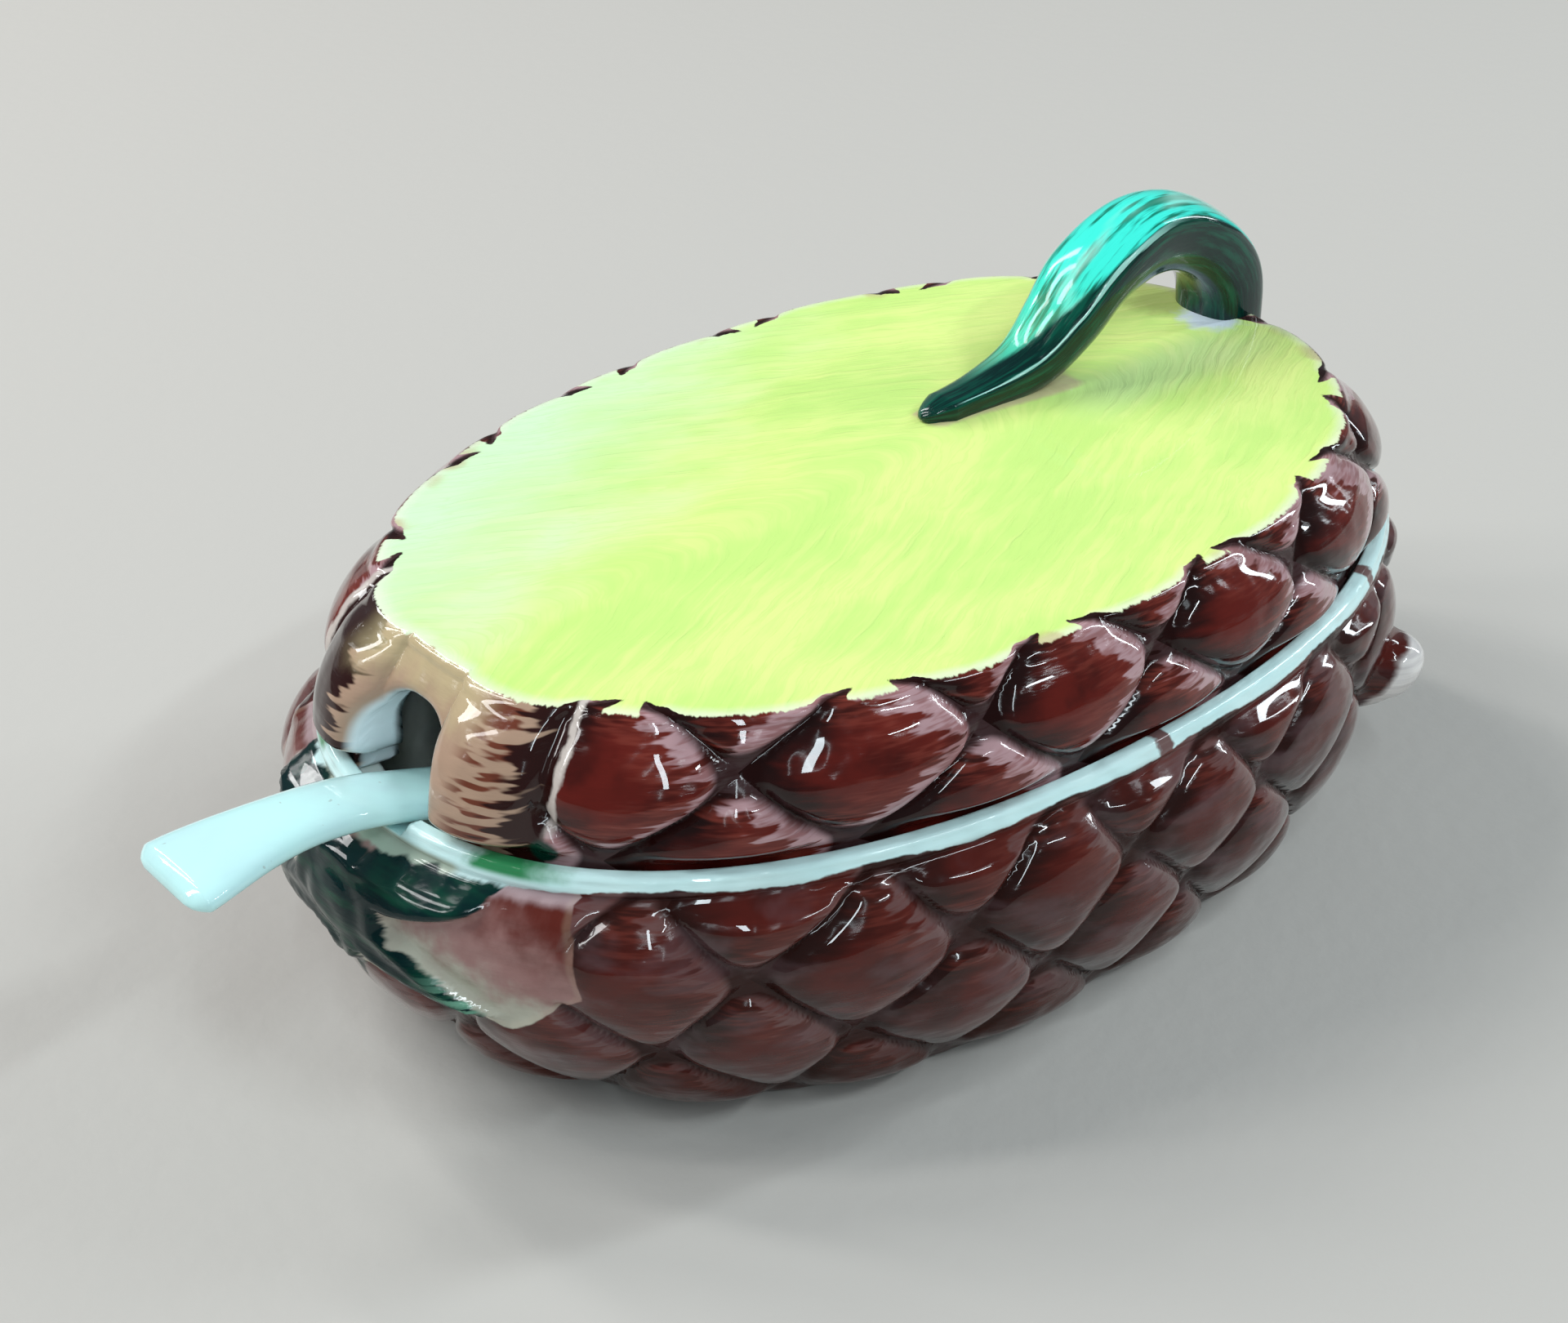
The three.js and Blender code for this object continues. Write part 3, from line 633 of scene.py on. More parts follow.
class Lid:
    """The lid's side as formulas of the distance along the rim and of the level."""

    def __init__(self, sizes, dish):
        self.sizes = sizes
        self.dish = dish
        self.rim = dish.sizes.height
        self.top = self.rim + sizes.rise
        self.bottom = dish.ledge + sizes.clearance
        inset = dish.sizes.rim_wall + sizes.clearance
        self.foot = (dish.sizes.rim_length / 2 - inset, dish.sizes.rim_width / 2 - inset)

    def net(self, along, level):
        """Net of diamonds on the side."""
        s = self.sizes
        middle = self.rim + s.scale_level
        return net_of(along, level, self.dish.girth.total, s.scales, s.scale_height, middle, 0, 4.4)

    def relief(self, along, level):
        """How far the skin stands out: scales, or the two round lobes beside the notch, fading at the foot
        and partly at the slice."""
        s = self.sizes
        at_slice = smooth(level, self.top - 3, self.top)
        fade = smooth(level, self.rim, self.rim + 2.4) * lerp(1, 0.42, at_slice)
        from_middle = np.abs(along) - (s.notch_width + s.lobe_width) / 2 + 1.5
        lobe = np.sqrt(np.clip(1 - (2 * from_middle / s.lobe_width) ** 2, 0, None))
        lobe_end = s.notch_width / 2 + s.lobe_width
        at_notch = 1 - smooth(np.abs(along), lobe_end - 3, lobe_end)
        scales = cushion(*self.net(along, level))
        groove = 0.5 * np.exp(-(((np.abs(along) - lobe_end + 0.6) / 0.9) ** 2))
        uneven = wobble(along, level, self.dish.girth.total, 2.9, 0.13)
        return fade * (lerp(s.relief * scales, s.lobe_swell * lobe, at_notch) + uneven - groove)

    def side(self, along, level, out):
        """Points of the side: half sizes run straight from the foot to the slice with a sine swell, moved
        out."""
        s = self.sizes
        part = np.clip((level - self.rim) / (s.rise - s.edge), 0, 1)
        swell = s.swell * np.sin(np.pi * part)
        half_length = lerp(self.foot[0], s.slice_length / 2, part) + swell
        half_width = lerp(self.foot[1], s.slice_width / 2, part) + swell
        x, y, across, beside = oval(self.dish.girth.angle(along), half_length, half_width)
        return points_of(x + out * across, y + out * beside, level)

    def wall(self, along, level, inset):
        """Points of the inner wall: the foot's oval, smaller all round by an inset."""
        x, y, _, _ = oval(self.dish.girth.angle(along), self.foot[0] - inset, self.foot[1] - inset)
        return points_of(x, y, level)

    def outline(self):
        """Lower edge over the whole girth as (along, level): the foot, and the notch between, which is half
        an oval whose ends flare in quarter circles."""
        s = self.sizes
        half, flare = s.notch_width / 2, s.notch_flare
        angles = np.linspace(0, np.pi / 2, 240)
        beside = half * np.abs(np.cos(angles)) ** (2 / NOTCH_POWER)
        above = s.notch_height * np.abs(np.sin(angles)) ** (2 / NOTCH_POWER)
        within = np.clip(flare - above, 0, None)
        beside = beside + flare - np.sqrt(flare**2 - within**2)
        arch_along = np.concatenate([beside, -beside[-2::-1]])
        arch_level = self.rim + np.concatenate([above, above[-2::-1]])
        end = self.dish.girth.total / 2
        along = np.concatenate([[end, half + flare], arch_along, [-half - flare, -end]])[::-1]
        level = np.concatenate([[self.bottom] * 2, arch_level, [self.bottom] * 2])[::-1]
        return along, level

    def columns(self, count):
        """Columns of the grid along the lower edge, closer near the notch, as the edge's (along, level),
        and the smoother distances that the columns have at the slice."""
        along, level = self.outline()
        length_at = path_lengths(along, level)
        fine = np.linspace(0, length_at[-1], 20001)
        fine_along = np.interp(fine, length_at, along)
        near = np.exp(-((fine_along / 13) ** 2)) + 0.25 * np.exp(-(((fine_along - 45) / 50) ** 2))
        reached = np.concatenate([[0], np.cumsum(1 + 1.3 * near)[:-1]])
        chosen = np.interp(np.arange(count) / count, reached / reached[-1], fine)
        edge_along = np.interp(chosen, length_at, along)
        edge_level = np.interp(chosen, length_at, level)
        reach = 34
        girth = self.dish.girth.total
        wrapped = np.concatenate([edge_along[-reach:] - girth, edge_along, edge_along[:reach] + girth])
        kernel = np.hanning(2 * reach + 1)
        return edge_along, edge_level, np.convolve(wrapped, kernel / kernel.sum(), "valid")

    def edge_distance(self, along, level, edge_level):
        """Distance of places on the side from the lower edge: to the nearest point of the notch's outline
        near it, and straight down elsewhere."""
        down = level - edge_level
        near = np.abs(along) < 16
        outline_along, outline_level = self.outline()
        pick = np.abs(outline_along) < 20
        edge = np.stack([outline_along[pick], outline_level[pick]], -1)
        places = np.stack([along[near], level[near]], -1)
        gaps = np.hypot(*(places[:, None] - edge[None]).transpose(2, 0, 1)).min(1)
        distance = down.copy()
        far = 20
        distance[near] = np.minimum(gaps, np.maximum(down[near], 0) + far * (down[near] < 0))
        return np.clip(distance, 0, None)


def fillet(handle, x, y):
    """How high the glaze stands round the stem that lies on the slice: falls off with the square of the
    distance from the strip that the stem covers."""
    start, end = handle.start + 1.5, handle.start + STEM_LIES
    widening, tuck, reach = 4.2, 0.7, 1.3
    wide = lerp(handle.tip_width, handle.tip_width + widening, smooth(x, start, end)) / 2 - tuck
    beside = np.abs(y - handle.offset + handle.bend * smooth(x, start, end)) - wide
    beyond = np.maximum(start - x, x - end)
    gap = np.hypot(np.clip(beside, 0, None), np.clip(beyond, 0, None))
    return np.exp(-((gap / reach) ** 2))


def build_lid(sizes, dish_sizes, handle):
    """The lid as one grid: ceiling, inner wall, lower edge with the notch, scaled side, rounded edge and
    slice."""
    lid = Lid(sizes, Dish(dish_sizes))
    edge_along, edge_level, top_along = lid.columns(700)
    ones = np.ones_like(edge_along)
    rows, alongs, levels, inners = [], [], [], []

    def add(points, along, level, inner):
        rows.append(points)
        alongs.append(along)
        levels.append(level * ones)
        inners.append(inner * ones)

    ceiling = lid.top - sizes.top
    turn, inner_rounding, unevenness, fillet_height = 5.0, 1.2, 0.1, 0.55
    in_notch = edge_level > lid.bottom + 0.1
    under = lid.wall(top_along, ceiling, sizes.wall + turn)
    for part in (0, 0.25, 0.5, 0.75, 0.9):
        add(under * [part, part, 1], top_along, ceiling - 20, 60 - 40 * part)
    for part in np.linspace(0, 1, 22) ** 1.8:
        along = lerp(top_along, edge_along, smooth(np.array(part), 0, 0.9))
        level = lerp(ceiling * ones, edge_level, part)
        over = np.clip((level - ceiling + turn) / turn, 0, 1)
        near = np.clip(1 - lid.edge_distance(along, level, edge_level) / inner_rounding, 0, 1)
        inset = sizes.wall + turn * (1 - np.sqrt(1 - over**2)) + (1 - np.sqrt(1 - near**2)) * in_notch
        add(lid.wall(along, level, inset), along, level, 18 - 12 * part)
    first_out = lid.relief(edge_along, edge_level)
    rounding = np.where(in_notch, 1.6, 0.5)
    outer = lid.side(edge_along, edge_level, first_out - rounding)
    inner_edge = rows[-1]
    for part in (0.25, 0.5, 0.75):
        add(lerp(inner_edge, outer, part), edge_along, edge_level - 1, 5 - 4 * part)
    side_top = lid.top - sizes.edge
    for part in np.linspace(0, 1, 66) ** 1.25:
        along = lerp(edge_along, top_along, smooth(np.array(part), 0.05, 1))
        level = lerp(edge_level, side_top * ones, part)
        gap = lid.edge_distance(along, level, edge_level)
        near = np.clip(1 - gap / rounding, 0, 1)
        inset = rounding * (1 - np.sqrt(1 - near**2))
        add(lid.side(along, level, lid.relief(along, level) - inset), along, level, 1.2 * near**2)
    out, up = arc(sizes.edge, 0, 90, 7)
    for over, above, angle in zip(out[1:], up[1:], np.linspace(0, 90, 7)[1:]):
        level = side_top + above
        points = lid.side(top_along, side_top, lid.relief(top_along, level) + over - sizes.edge)
        points[:, 2] = level
        add(points, top_along, side_top + sizes.edge * math.radians(angle), 0.0)
    edge = rows[-1]
    span = 44.0
    for part in (0.985, 0.965, 0.94, 0.91, 0.87, *np.linspace(0.83, 0, 25)):
        ring = edge * [part, part, 1]
        x, y = ring[:, 0], ring[:, 1]
        ring[:, 2] += unevenness * np.sin(x / 9 + 1) * np.sin(y / 7) * (1 - part)
        if part > 0:
            ring[:, 2] += fillet_height * fillet(handle, x, y)
        add(ring, top_along, side_top + sizes.edge * math.pi / 2 + span * (1 - part), 0.0)

    points, along, level, inner = (np.stack(part) for part in (rows, alongs, levels, inners))
    maps = skin_maps(along, level, lid.net(along, level), lid.dish.girth.total, sizes.scales)
    facts = {"inner": inner, "fillet": fillet(handle, points[..., 0], points[..., 1]) * (level > side_top)}
    return skin_mesh("pineapple_lid", points, maps, facts)


# Handle and spoon


def curve_through(points):
    """Dense points on a smooth curve through given ones: between two of them it blends the straight lines
    and then the parabolas through the neighbours, with knots at the square roots of the distances."""
    points = np.asarray(points, float)
    ends = np.vstack([2 * points[0] - points[1], points, 2 * points[-1] - points[-2]])
    pieces = []
    for k in range(len(points) - 1):
        blends = list(ends[k : k + 4])
        knots = [0.0]
        for first, last in zip(blends, blends[1:]):
            knots.append(knots[-1] + np.linalg.norm(last - first) ** 0.5)
        t = np.linspace(knots[1], knots[2], 60, endpoint=k == len(points) - 2)[:, None]
        for span, lows in ((1, (0, 1, 2)), (2, (0, 1)), (1, (1,))):
            blends = [
                (knots[low + span] - t) / (knots[low + span] - knots[low]) * first
                + (t - knots[low]) / (knots[low + span] - knots[low]) * last
                for low, first, last in zip(lows, blends, blends[1:])
            ]
        pieces.append(blends[0])
    return np.concatenate(pieces)


def upright(path):
    """Directions square to a path in the plane of X and Z, on its upper side."""
    heading = np.gradient(path, axis=0)
    heading /= np.linalg.norm(heading, axis=1)[:, None]
    return np.cross(heading, SIDEWAYS)


def full_turn(count):
    """Angles all the way round in equal steps."""
    return 2 * np.pi * np.arange(count) / count


def tube(path, up, width, thickness, turned, power, sag=0, twist=0):
    """Points round a path: each section is an oval in the plane of Y and `up`, whose power may change round
    it, with its upper and lower side lowered by a sag, and turned by a twist.  The section's first point
    looks to +Y, the next ones go up."""
    across = signed_power(np.cos(turned), 2 / power) * width[:, None] / 2
    lift = signed_power(np.sin(turned), 2 / power) * thickness[:, None] / 2
    lift = lift - np.reshape(sag, (-1, 1)) * np.sin(turned) ** 2
    cos, sin = np.cos(np.reshape(twist, (-1, 1))), np.sin(np.reshape(twist, (-1, 1)))
    across, lift = across * cos - lift * sin, across * sin + lift * cos
    return path[:, None] + across[..., None] * SIDEWAYS + lift[..., None] * up[:, None]


def tube_maps(points):
    """UV map of a tube: turns round it from 0 to 1, and the length of its path in millimetres."""
    rows, around, _ = points.shape
    middle = points.mean(axis=1)
    reached = np.concatenate([[0], np.cumsum(np.linalg.norm(np.diff(middle, axis=0), axis=1))])
    turns = np.broadcast_to(np.arange(around + 1) / around, (rows, around + 1))
    return {"skin": np.stack([turns, np.broadcast_to(reached[:, None], turns.shape)], -1)}


def capped(points):
    """The tube with a pole added at each end, in the middle of its first and last section."""
    ends = [np.repeat(p.mean(axis=0)[None], len(p), 0)[None] for p in (points[0], points[-1])]
    return np.concatenate([ends[0], points, ends[1]])


def build_handle(handle, lid_sizes, dish_sizes):
    """The stem: a section with a sharp upper and a softer lower edge on the near side, carried along an
    arch from its blunt tip, which lies along the slice, to its foot over the slice's far edge."""
    top = dish_sizes.height + lid_sizes.rise
    start, end = handle.start, lid_sizes.slice_length / 2 - 0.7
    knots = [(lerp(start, end, run), handle.offset, top + rise * handle.rise) for run, rise in STEM_LINE]
    path = curve_through(knots)
    reached = path_lengths(path[:, 0], path[:, 2])
    part = np.linspace(0, 1, 230) ** 1.15
    path = np.stack([np.interp(part * reached[-1], reached, path[:, k]) for k in range(3)], -1)
    blunt = np.sqrt(np.clip(part / 0.05, 0, 1)) * 0.98 + 0.02
    path[:, 1] -= handle.bend * np.sin(np.pi * np.clip(part / 0.7, 0, 1)) ** 2
    width = blunt * lerp(handle.tip_width, handle.width, smooth(part, 0.05, 0.45))
    climb = lerp(handle.tip_thickness, handle.climb_thickness, smooth(part, 0.05, 0.38))
    thickness = blunt * (climb + (handle.thickness - handle.climb_thickness) * smooth(part, 0.4, 0.62))
    width *= 1 + 0.02 * np.sin(part * 17)
    turned = full_turn(56)
    power = 2.15
    for edge, sharper in STEM_EDGES:
        power = power + sharper * np.exp(-(((turned - math.radians(edge)) / 0.5) ** 2))
    twist = 0.12 * np.sin(np.pi * part)
    points = tube(path, upright(path), width, thickness, turned, power, twist=twist)
    flat = top - 0.4
    under = (points[..., 2] < flat) & (points[..., 0] < start + STEM_FLAT)
    points[..., 2] = np.where(under, flat, points[..., 2])
    points = capped(points)
    return skin_mesh("stem_handle", points, tube_maps(points), {})


def build_spoon(spoon, dish_sizes):
    """The spoon: a flat stem that eases from its slope in the channel to its flared end, and a hollowed
    bowl whose underside goes on in line with the stem to its middle."""
    seat_x = -(dish_sizes.rim_length / 2 - dish_sizes.rim_wall)
    seat = np.array([seat_x, 0, dish_sizes.height - dish_sizes.channel_depth])
    down = np.array([math.cos(spoon.slope), 0, -math.sin(spoon.slope)])
    off = np.array([math.sin(spoon.slope), 0, math.cos(spoon.slope)])
    corner = seat + off * spoon.clearance

    steps = 90
    part = np.linspace(0, 1, steps)
    slope = lerp(spoon.slope, spoon.end_slope, smooth(part, 0, 1) ** 0.65)
    heading = np.stack([np.cos(slope), 0 * slope, -np.sin(slope)], -1)
    gone = np.cumsum(heading[:-1] * spoon.reach / (steps - 1), axis=0)
    under = corner - np.concatenate([[np.zeros(3)], gone])
    width = lerp(spoon.stem_width, spoon.end_width, smooth(part, 0.3, 1) ** 1.5)
    tip = np.sqrt(np.clip((1 - part) / 0.06, 0, 1)) * 0.9 + 0.1
    stem = {
        "under": under[::-1],
        "width": (width * (0.55 + 0.45 * tip))[::-1],
        "thickness": (spoon.stem_thickness * tip)[::-1],
        "lift": (spoon.stem_thickness * (1 - tip) / 2)[::-1],
        "sag": np.zeros(steps),
    }
    inward = (corner[2] - dish_sizes.floor - spoon.clearance) / math.sin(spoon.slope) + spoon.bowl_length / 3
    reach = inward * np.linspace(0, 1, 150)[1:] ** 0.9
    bowl = np.clip((reach - inward) / spoon.bowl_length + 1, 0, 1)
    round_tip = np.sqrt(np.clip(1 - bowl**6, 0.004, 1))
    belly = np.sin(np.pi * (0.97 * bowl) ** 0.85) ** 0.8
    neck = spoon.stem_width * (1 - smooth(bowl, 0, 0.6))
    sag = spoon.bowl_depth * np.clip(np.sin(np.pi * bowl), 0, 1) ** 0.7
    inside = {
        "under": corner + down * reach[:, None],
        "width": round_tip * np.maximum(neck, spoon.bowl_width * belly),
        "thickness": lerp(spoon.stem_thickness, spoon.bowl_thickness, smooth(bowl, 0, 0.4)),
        "lift": np.where(bowl < 0.5, sag, spoon.bowl_depth),
        "sag": sag,
    }
    under, width, thickness, lift, sag = (np.concatenate([stem[k], inside[k]]) for k in inside)
    up = upright(under)
    path = under + up * (thickness / 2 + lift)[:, None]
    points = capped(tube(path, up, width, thickness, full_turn(48), SPOON_POWER, sag))
    return skin_mesh("jam_spoon", points, tube_maps(points), {})


# Glazes


def tints(**screen):
    """Colours by name in linear light, from 0 to 255 in the screen's scale."""
    return SimpleNamespace(**{name: linear(*parts) for name, parts in screen.items()})


# Second colours, which shade and break up the main ones
TINTS = tints(
    # the dish's scales (ash: painted sheen, peat: painted shade low down), its smooth patch, the leaves' tips
    umber=(50, 20, 13), ash=(116, 92, 96), peat=(50, 20, 8), brick=(96, 36, 28),
    rose=(158, 120, 116), sage=(188, 188, 172), lilac=(206, 184, 188), clay=(214, 200, 172),
    sea_green=(120, 176, 150),
    # its inside, its stub and the band of its rim, whose aqua white and aqua add a painted reflection
    ivory=(232, 228, 204), chalk=(236, 232, 228), stone=(190, 184, 184),
    aqua_white=(228, 254, 252), aqua=(206, 248, 248), emerald=(10, 134, 68), olive=(150, 142, 92),
    # the lobes beside the notch
    chestnut=(112, 58, 42), burnt=(44, 16, 14), sand=(206, 190, 146), oat=(214, 204, 196),
    bottle_green=(4, 52, 40),
    # the slice, with painted reflections, a painted shadow and a painted highlight, and the lid's hollow
    pale_mint=(216, 252, 216), pale_lime=(226, 255, 206), grass=(166, 220, 96), tan=(196, 172, 122),
    biscuit=(206, 188, 152), khaki=(140, 126, 74), ice=(220, 232, 252), frost=(236, 246, 252),
    # the stem, in painted light and shade, with glint as a painted highlight
    jade=(10, 132, 108), foam=(176, 244, 226), apple=(110, 200, 130), deep_teal=(0, 40, 38),
    pine=(2, 84, 68), black_green=(4, 24, 20), glint=(186, 248, 240),
    # the spoon
    milk_blue=(196, 228, 236), speck=(150, 160, 150),
)

CLEAR_GLAZE = {"Coat Roughness": 0.02, "Coat IOR": 1.38, "IOR": 1.45, "Specular IOR Level": 0.12}
WAVE_DEPTH = 0.0008
BAND_BREAKS = (88.5, 131.5, 152.0, 163.0, -58.0, -97.0, -128.0, -160.0)
# Spots on the slice: a painted shadow of the stem in khaki, and a painted blue-white highlight by its foot
SLICE_SPOTS = (
    # middle, radius, strength, colour
    ((56, 9), 8.0, 0.5, TINTS.khaki),
    ((55, 1), 5.0, 0.9, TINTS.ice),
)


class Shade:
    """A number, vector or shader in a node tree.  Python's operators on it add Math nodes."""

    def __init__(self, glaze, socket):
        self.glaze = glaze
        self.socket = socket

    def __add__(self, other):
        return self.glaze.math("ADD", self, other)

    def __sub__(self, other):
        return self.glaze.math("SUBTRACT", self, other)

    def __rsub__(self, other):
        return self.glaze.math("SUBTRACT", other, self)

    def __mul__(self, other):
        return self.glaze.math("MULTIPLY", self, other)

    def __truediv__(self, other):
        return self.glaze.math("DIVIDE", self, other)

    def __mod__(self, other):
        return self.glaze.math("FLOORED_MODULO", self, other)

    def __pow__(self, other):
        return self.glaze.math("POWER", self, other)

    def __abs__(self):
        return self.glaze.math("ABSOLUTE", self)

    def __round__(self):
        return self.glaze.math("ROUND", self)

    __radd__ = __add__
    __rmul__ = __mul__

    def step(self, low, high):
        """Smooth step from 0 at low to 1 at high."""
        inputs = {"Value": self, "From Min": low, "From Max": high}
        return self.glaze.add("ShaderNodeMapRange", {"interpolation_type": "SMOOTHSTEP"}, inputs)


class Glaze:
    """The nodes of a painted and glazed material, or of the world, under construction."""

    def __init__(self, holder):
        self.holder = holder
        self.holder.use_nodes = True
        self.tree = self.holder.node_tree
        self.tree.nodes.clear()

    def add(self, kind, settings=None, inputs=None, output=0):
        """Adds a node of any type, sets it, feeds its sockets with values or links, and returns an
        output."""
        node = self.tree.nodes.new(kind)
        for key, value in (settings or {}).items():
            setattr(node, key, value)
        for key, value in (inputs or {}).items():
            if isinstance(value, Shade):
                self.tree.links.new(value.socket, node.inputs[key])
            else:
                node.inputs[key].default_value = value
        return Shade(self, node.outputs[output])

    def math(self, operation, *values):
        """A Math node."""
        return self.add("ShaderNodeMath", {"operation": operation}, dict(enumerate(values)))

    def least(self, *values):
        """The smallest of several numbers."""
        return reduce(lambda first, last: self.math("MINIMUM", first, last), values)

    def most(self, *values):
        """The largest of several numbers."""
        return reduce(lambda first, last: self.math("MAXIMUM", first, last), values)

    def distance(self, across, up):
        """Length of a way that goes across and up: the root of the squares' sum."""
        return self.math("SQRT", across**2 + up**2)

    def blend(self, part, first, last):
        """A colour between two."""
        inputs = {0: part}
        for key, value in ((6, first), (7, last)):
            inputs[key] = value if isinstance(value, Shade) else (*value, 1)
        return self.add("ShaderNodeMix", {"data_type": "RGBA"}, inputs, 2)

    def layers(self, ground, *coats):
        """A colour with others laid over it in turn, each given as (how much it covers, its colour)."""
        for cover, colour in coats:
            ground = self.blend(cover, ground, colour)
        return ground

    def chart(self, name):
        """The two values of a UV map."""
        place = self.add("ShaderNodeUVMap", {"uv_map": name})
        return tuple(self.add("ShaderNodeSeparateXYZ", None, {0: place}, k) for k in (0, 1))

    def fact(self, name):
        """A value that the mesh holds at its points."""
        return self.add("ShaderNodeAttribute", {"attribute_name": name}, None, 2)

    def place(self):
        """Place on the object in millimetres, as three numbers."""
        spot = self.add("ShaderNodeTexCoord", None, None, 3)
        return tuple(self.add("ShaderNodeSeparateXYZ", None, {0: spot}, k) * 1000 for k in (0, 1, 2))

    def vector(self, x, y, z):
        """Three numbers joined."""
        return self.add("ShaderNodeCombineXYZ", None, {0: x, 1: y, 2: z})

    def noise(self, x, y, z=0.0, detail=2.0, rough=0.5, bend=0.0):
        """Noise over three numbers, 0 to 1, whose grains are about one unit wide."""
        inputs = {"Vector": self.vector(x, y, z), "Scale": 1.0, "Detail": detail, "Roughness": rough}
        return self.add("ShaderNodeTexNoise", None, {**inputs, "Distortion": bend})

    def chance(self, x, y):
        """A value that is random from cell to cell and even inside one."""
        inputs = {"Vector": self.vector(x, y, 0.0)}
        return self.add("ShaderNodeTexWhiteNoise", {"noise_dimensions": "2D"}, inputs)

    def skin(self, girth):
        """Place on a skin that is mapped in millimetres: two numbers that go round with the girth, the
        level, and the distance along the rim."""
        along, level = self.chart("skin")
        turn = along * (2 * math.pi / girth)
        radius = girth / (2 * math.pi)
        return self.math("COSINE", turn) * radius, self.math("SINE", turn) * radius, level, along

    def strokes(self, skin, wide, high, seed, detail=2.0):
        """Noise on a skin, whose grains are `wide` along the rim and `high` upwards.  It closes round the
        girth."""
        return self.noise(skin[0] / wide, skin[1] / wide, skin[2] / high + seed * 31.7, detail)

    def wave(self, skin, seed):
        """Height of the poured glaze: broad smooth waves and faint brush marks."""
        broad = self.strokes(skin, 4.2, 3.2, seed, 1.0)
        return broad * 0.93 + self.strokes(skin, 2.6, 0.5, seed + 3, 2.0) * 0.07

    def shader(self, base, rough, coat, height, depth, constants=None):
        """Joins the colour, roughness, clear coat and bump into a shader.  `depth` is the bump's height in
        metres."""
        bump = self.add("ShaderNodeBump", None, {"Strength": 1.0, "Distance": depth, "Height": height})
        inputs = {"Base Color": base, "Roughness": rough, "Coat Weight": coat, "Normal": bump}
        return self.add("ShaderNodeBsdfPrincipled", None, {**inputs, **CLEAR_GLAZE, **(constants or {})})

    def finish(self, shader):
        """Joins a shader to the output and returns the material or world."""
        kind = "World" if isinstance(self.holder, bpy.types.World) else "Material"
        node = self.tree.nodes.new("ShaderNodeOutput" + kind)
        self.tree.links.new(shader.socket, node.inputs["Surface"])
        return self.holder


def painted_scale(glaze, colours, skin, net, count, bare, margin, seed):
    """Colour of a scale: dark along its left grooves, maroon in the body, and brush strokes that end in
    teeth before a bare right margin.  The dark along the left side and in the groove round the outline is
    partly the dark maroon paint and partly painted shade.  The margin ends straight at the next scale's
    dark edge.  Returns the colour and how far the place lies in a valley."""
    cells = [round(value) for value in net]
    one, other = (value - cell for value, cell in zip(net, cells))
    left = glaze.least(one, other) + 0.5
    right = 0.5 - glaze.most(one, other)
    chance = glaze.chance((cells[0] + cells[1]) % (2.0 * count), cells[0] - cells[1])
    teeth = glaze.strokes(skin, 5.0, 0.8, seed, 1.5)
    hairs = glaze.strokes(skin, 2.6, 0.26, seed + 5, 1.0)
    clouds = glaze.strokes(skin, 6.0, 4.0, seed + 9, 3.0)
    painted = right - (margin * (0.4 + 1.1 * chance) + (teeth - 0.5) * 0.5 + (hairs - 0.5) * 0.14)
    # partly painted shade: the scale darkens towards its left grooves, over the dark maroon paint
    shade = left + (teeth - 0.5) * 0.24 + (clouds - 0.5) * 0.2
    streak = (hairs * 0.5 + teeth * 0.5).step(0.42, 0.60)
    body = glaze.layers(
        colours.maroon_dark,
        (shade.step(0.04, 0.30), colours.maroon),
        (clouds.step(0.42, 0.70) * 0.6, colours.maroon_dark),
        ((1 - painted.step(0.0, 0.30)) * (0.25 + 0.65 * streak), colours.brown),
    )
    pale = glaze.blend((clouds * 0.5 + hairs * 0.5).step(0.44, 0.62) * 0.55, bare, colours.brown)
    # dark glaze and painted shade in the groove along the scale's rounded outline
    outline = (abs(one * 2) ** 4.0 + abs(other * 2) ** 4.0) ** 0.25
    groove = (outline + (clouds - 0.5) * 0.1).step(0.90, 1.0)
    scale = glaze.layers(pale, (painted.step(-0.02, 0.035), body), (groove * 0.92, colours.maroon_dark))
    return scale, groove


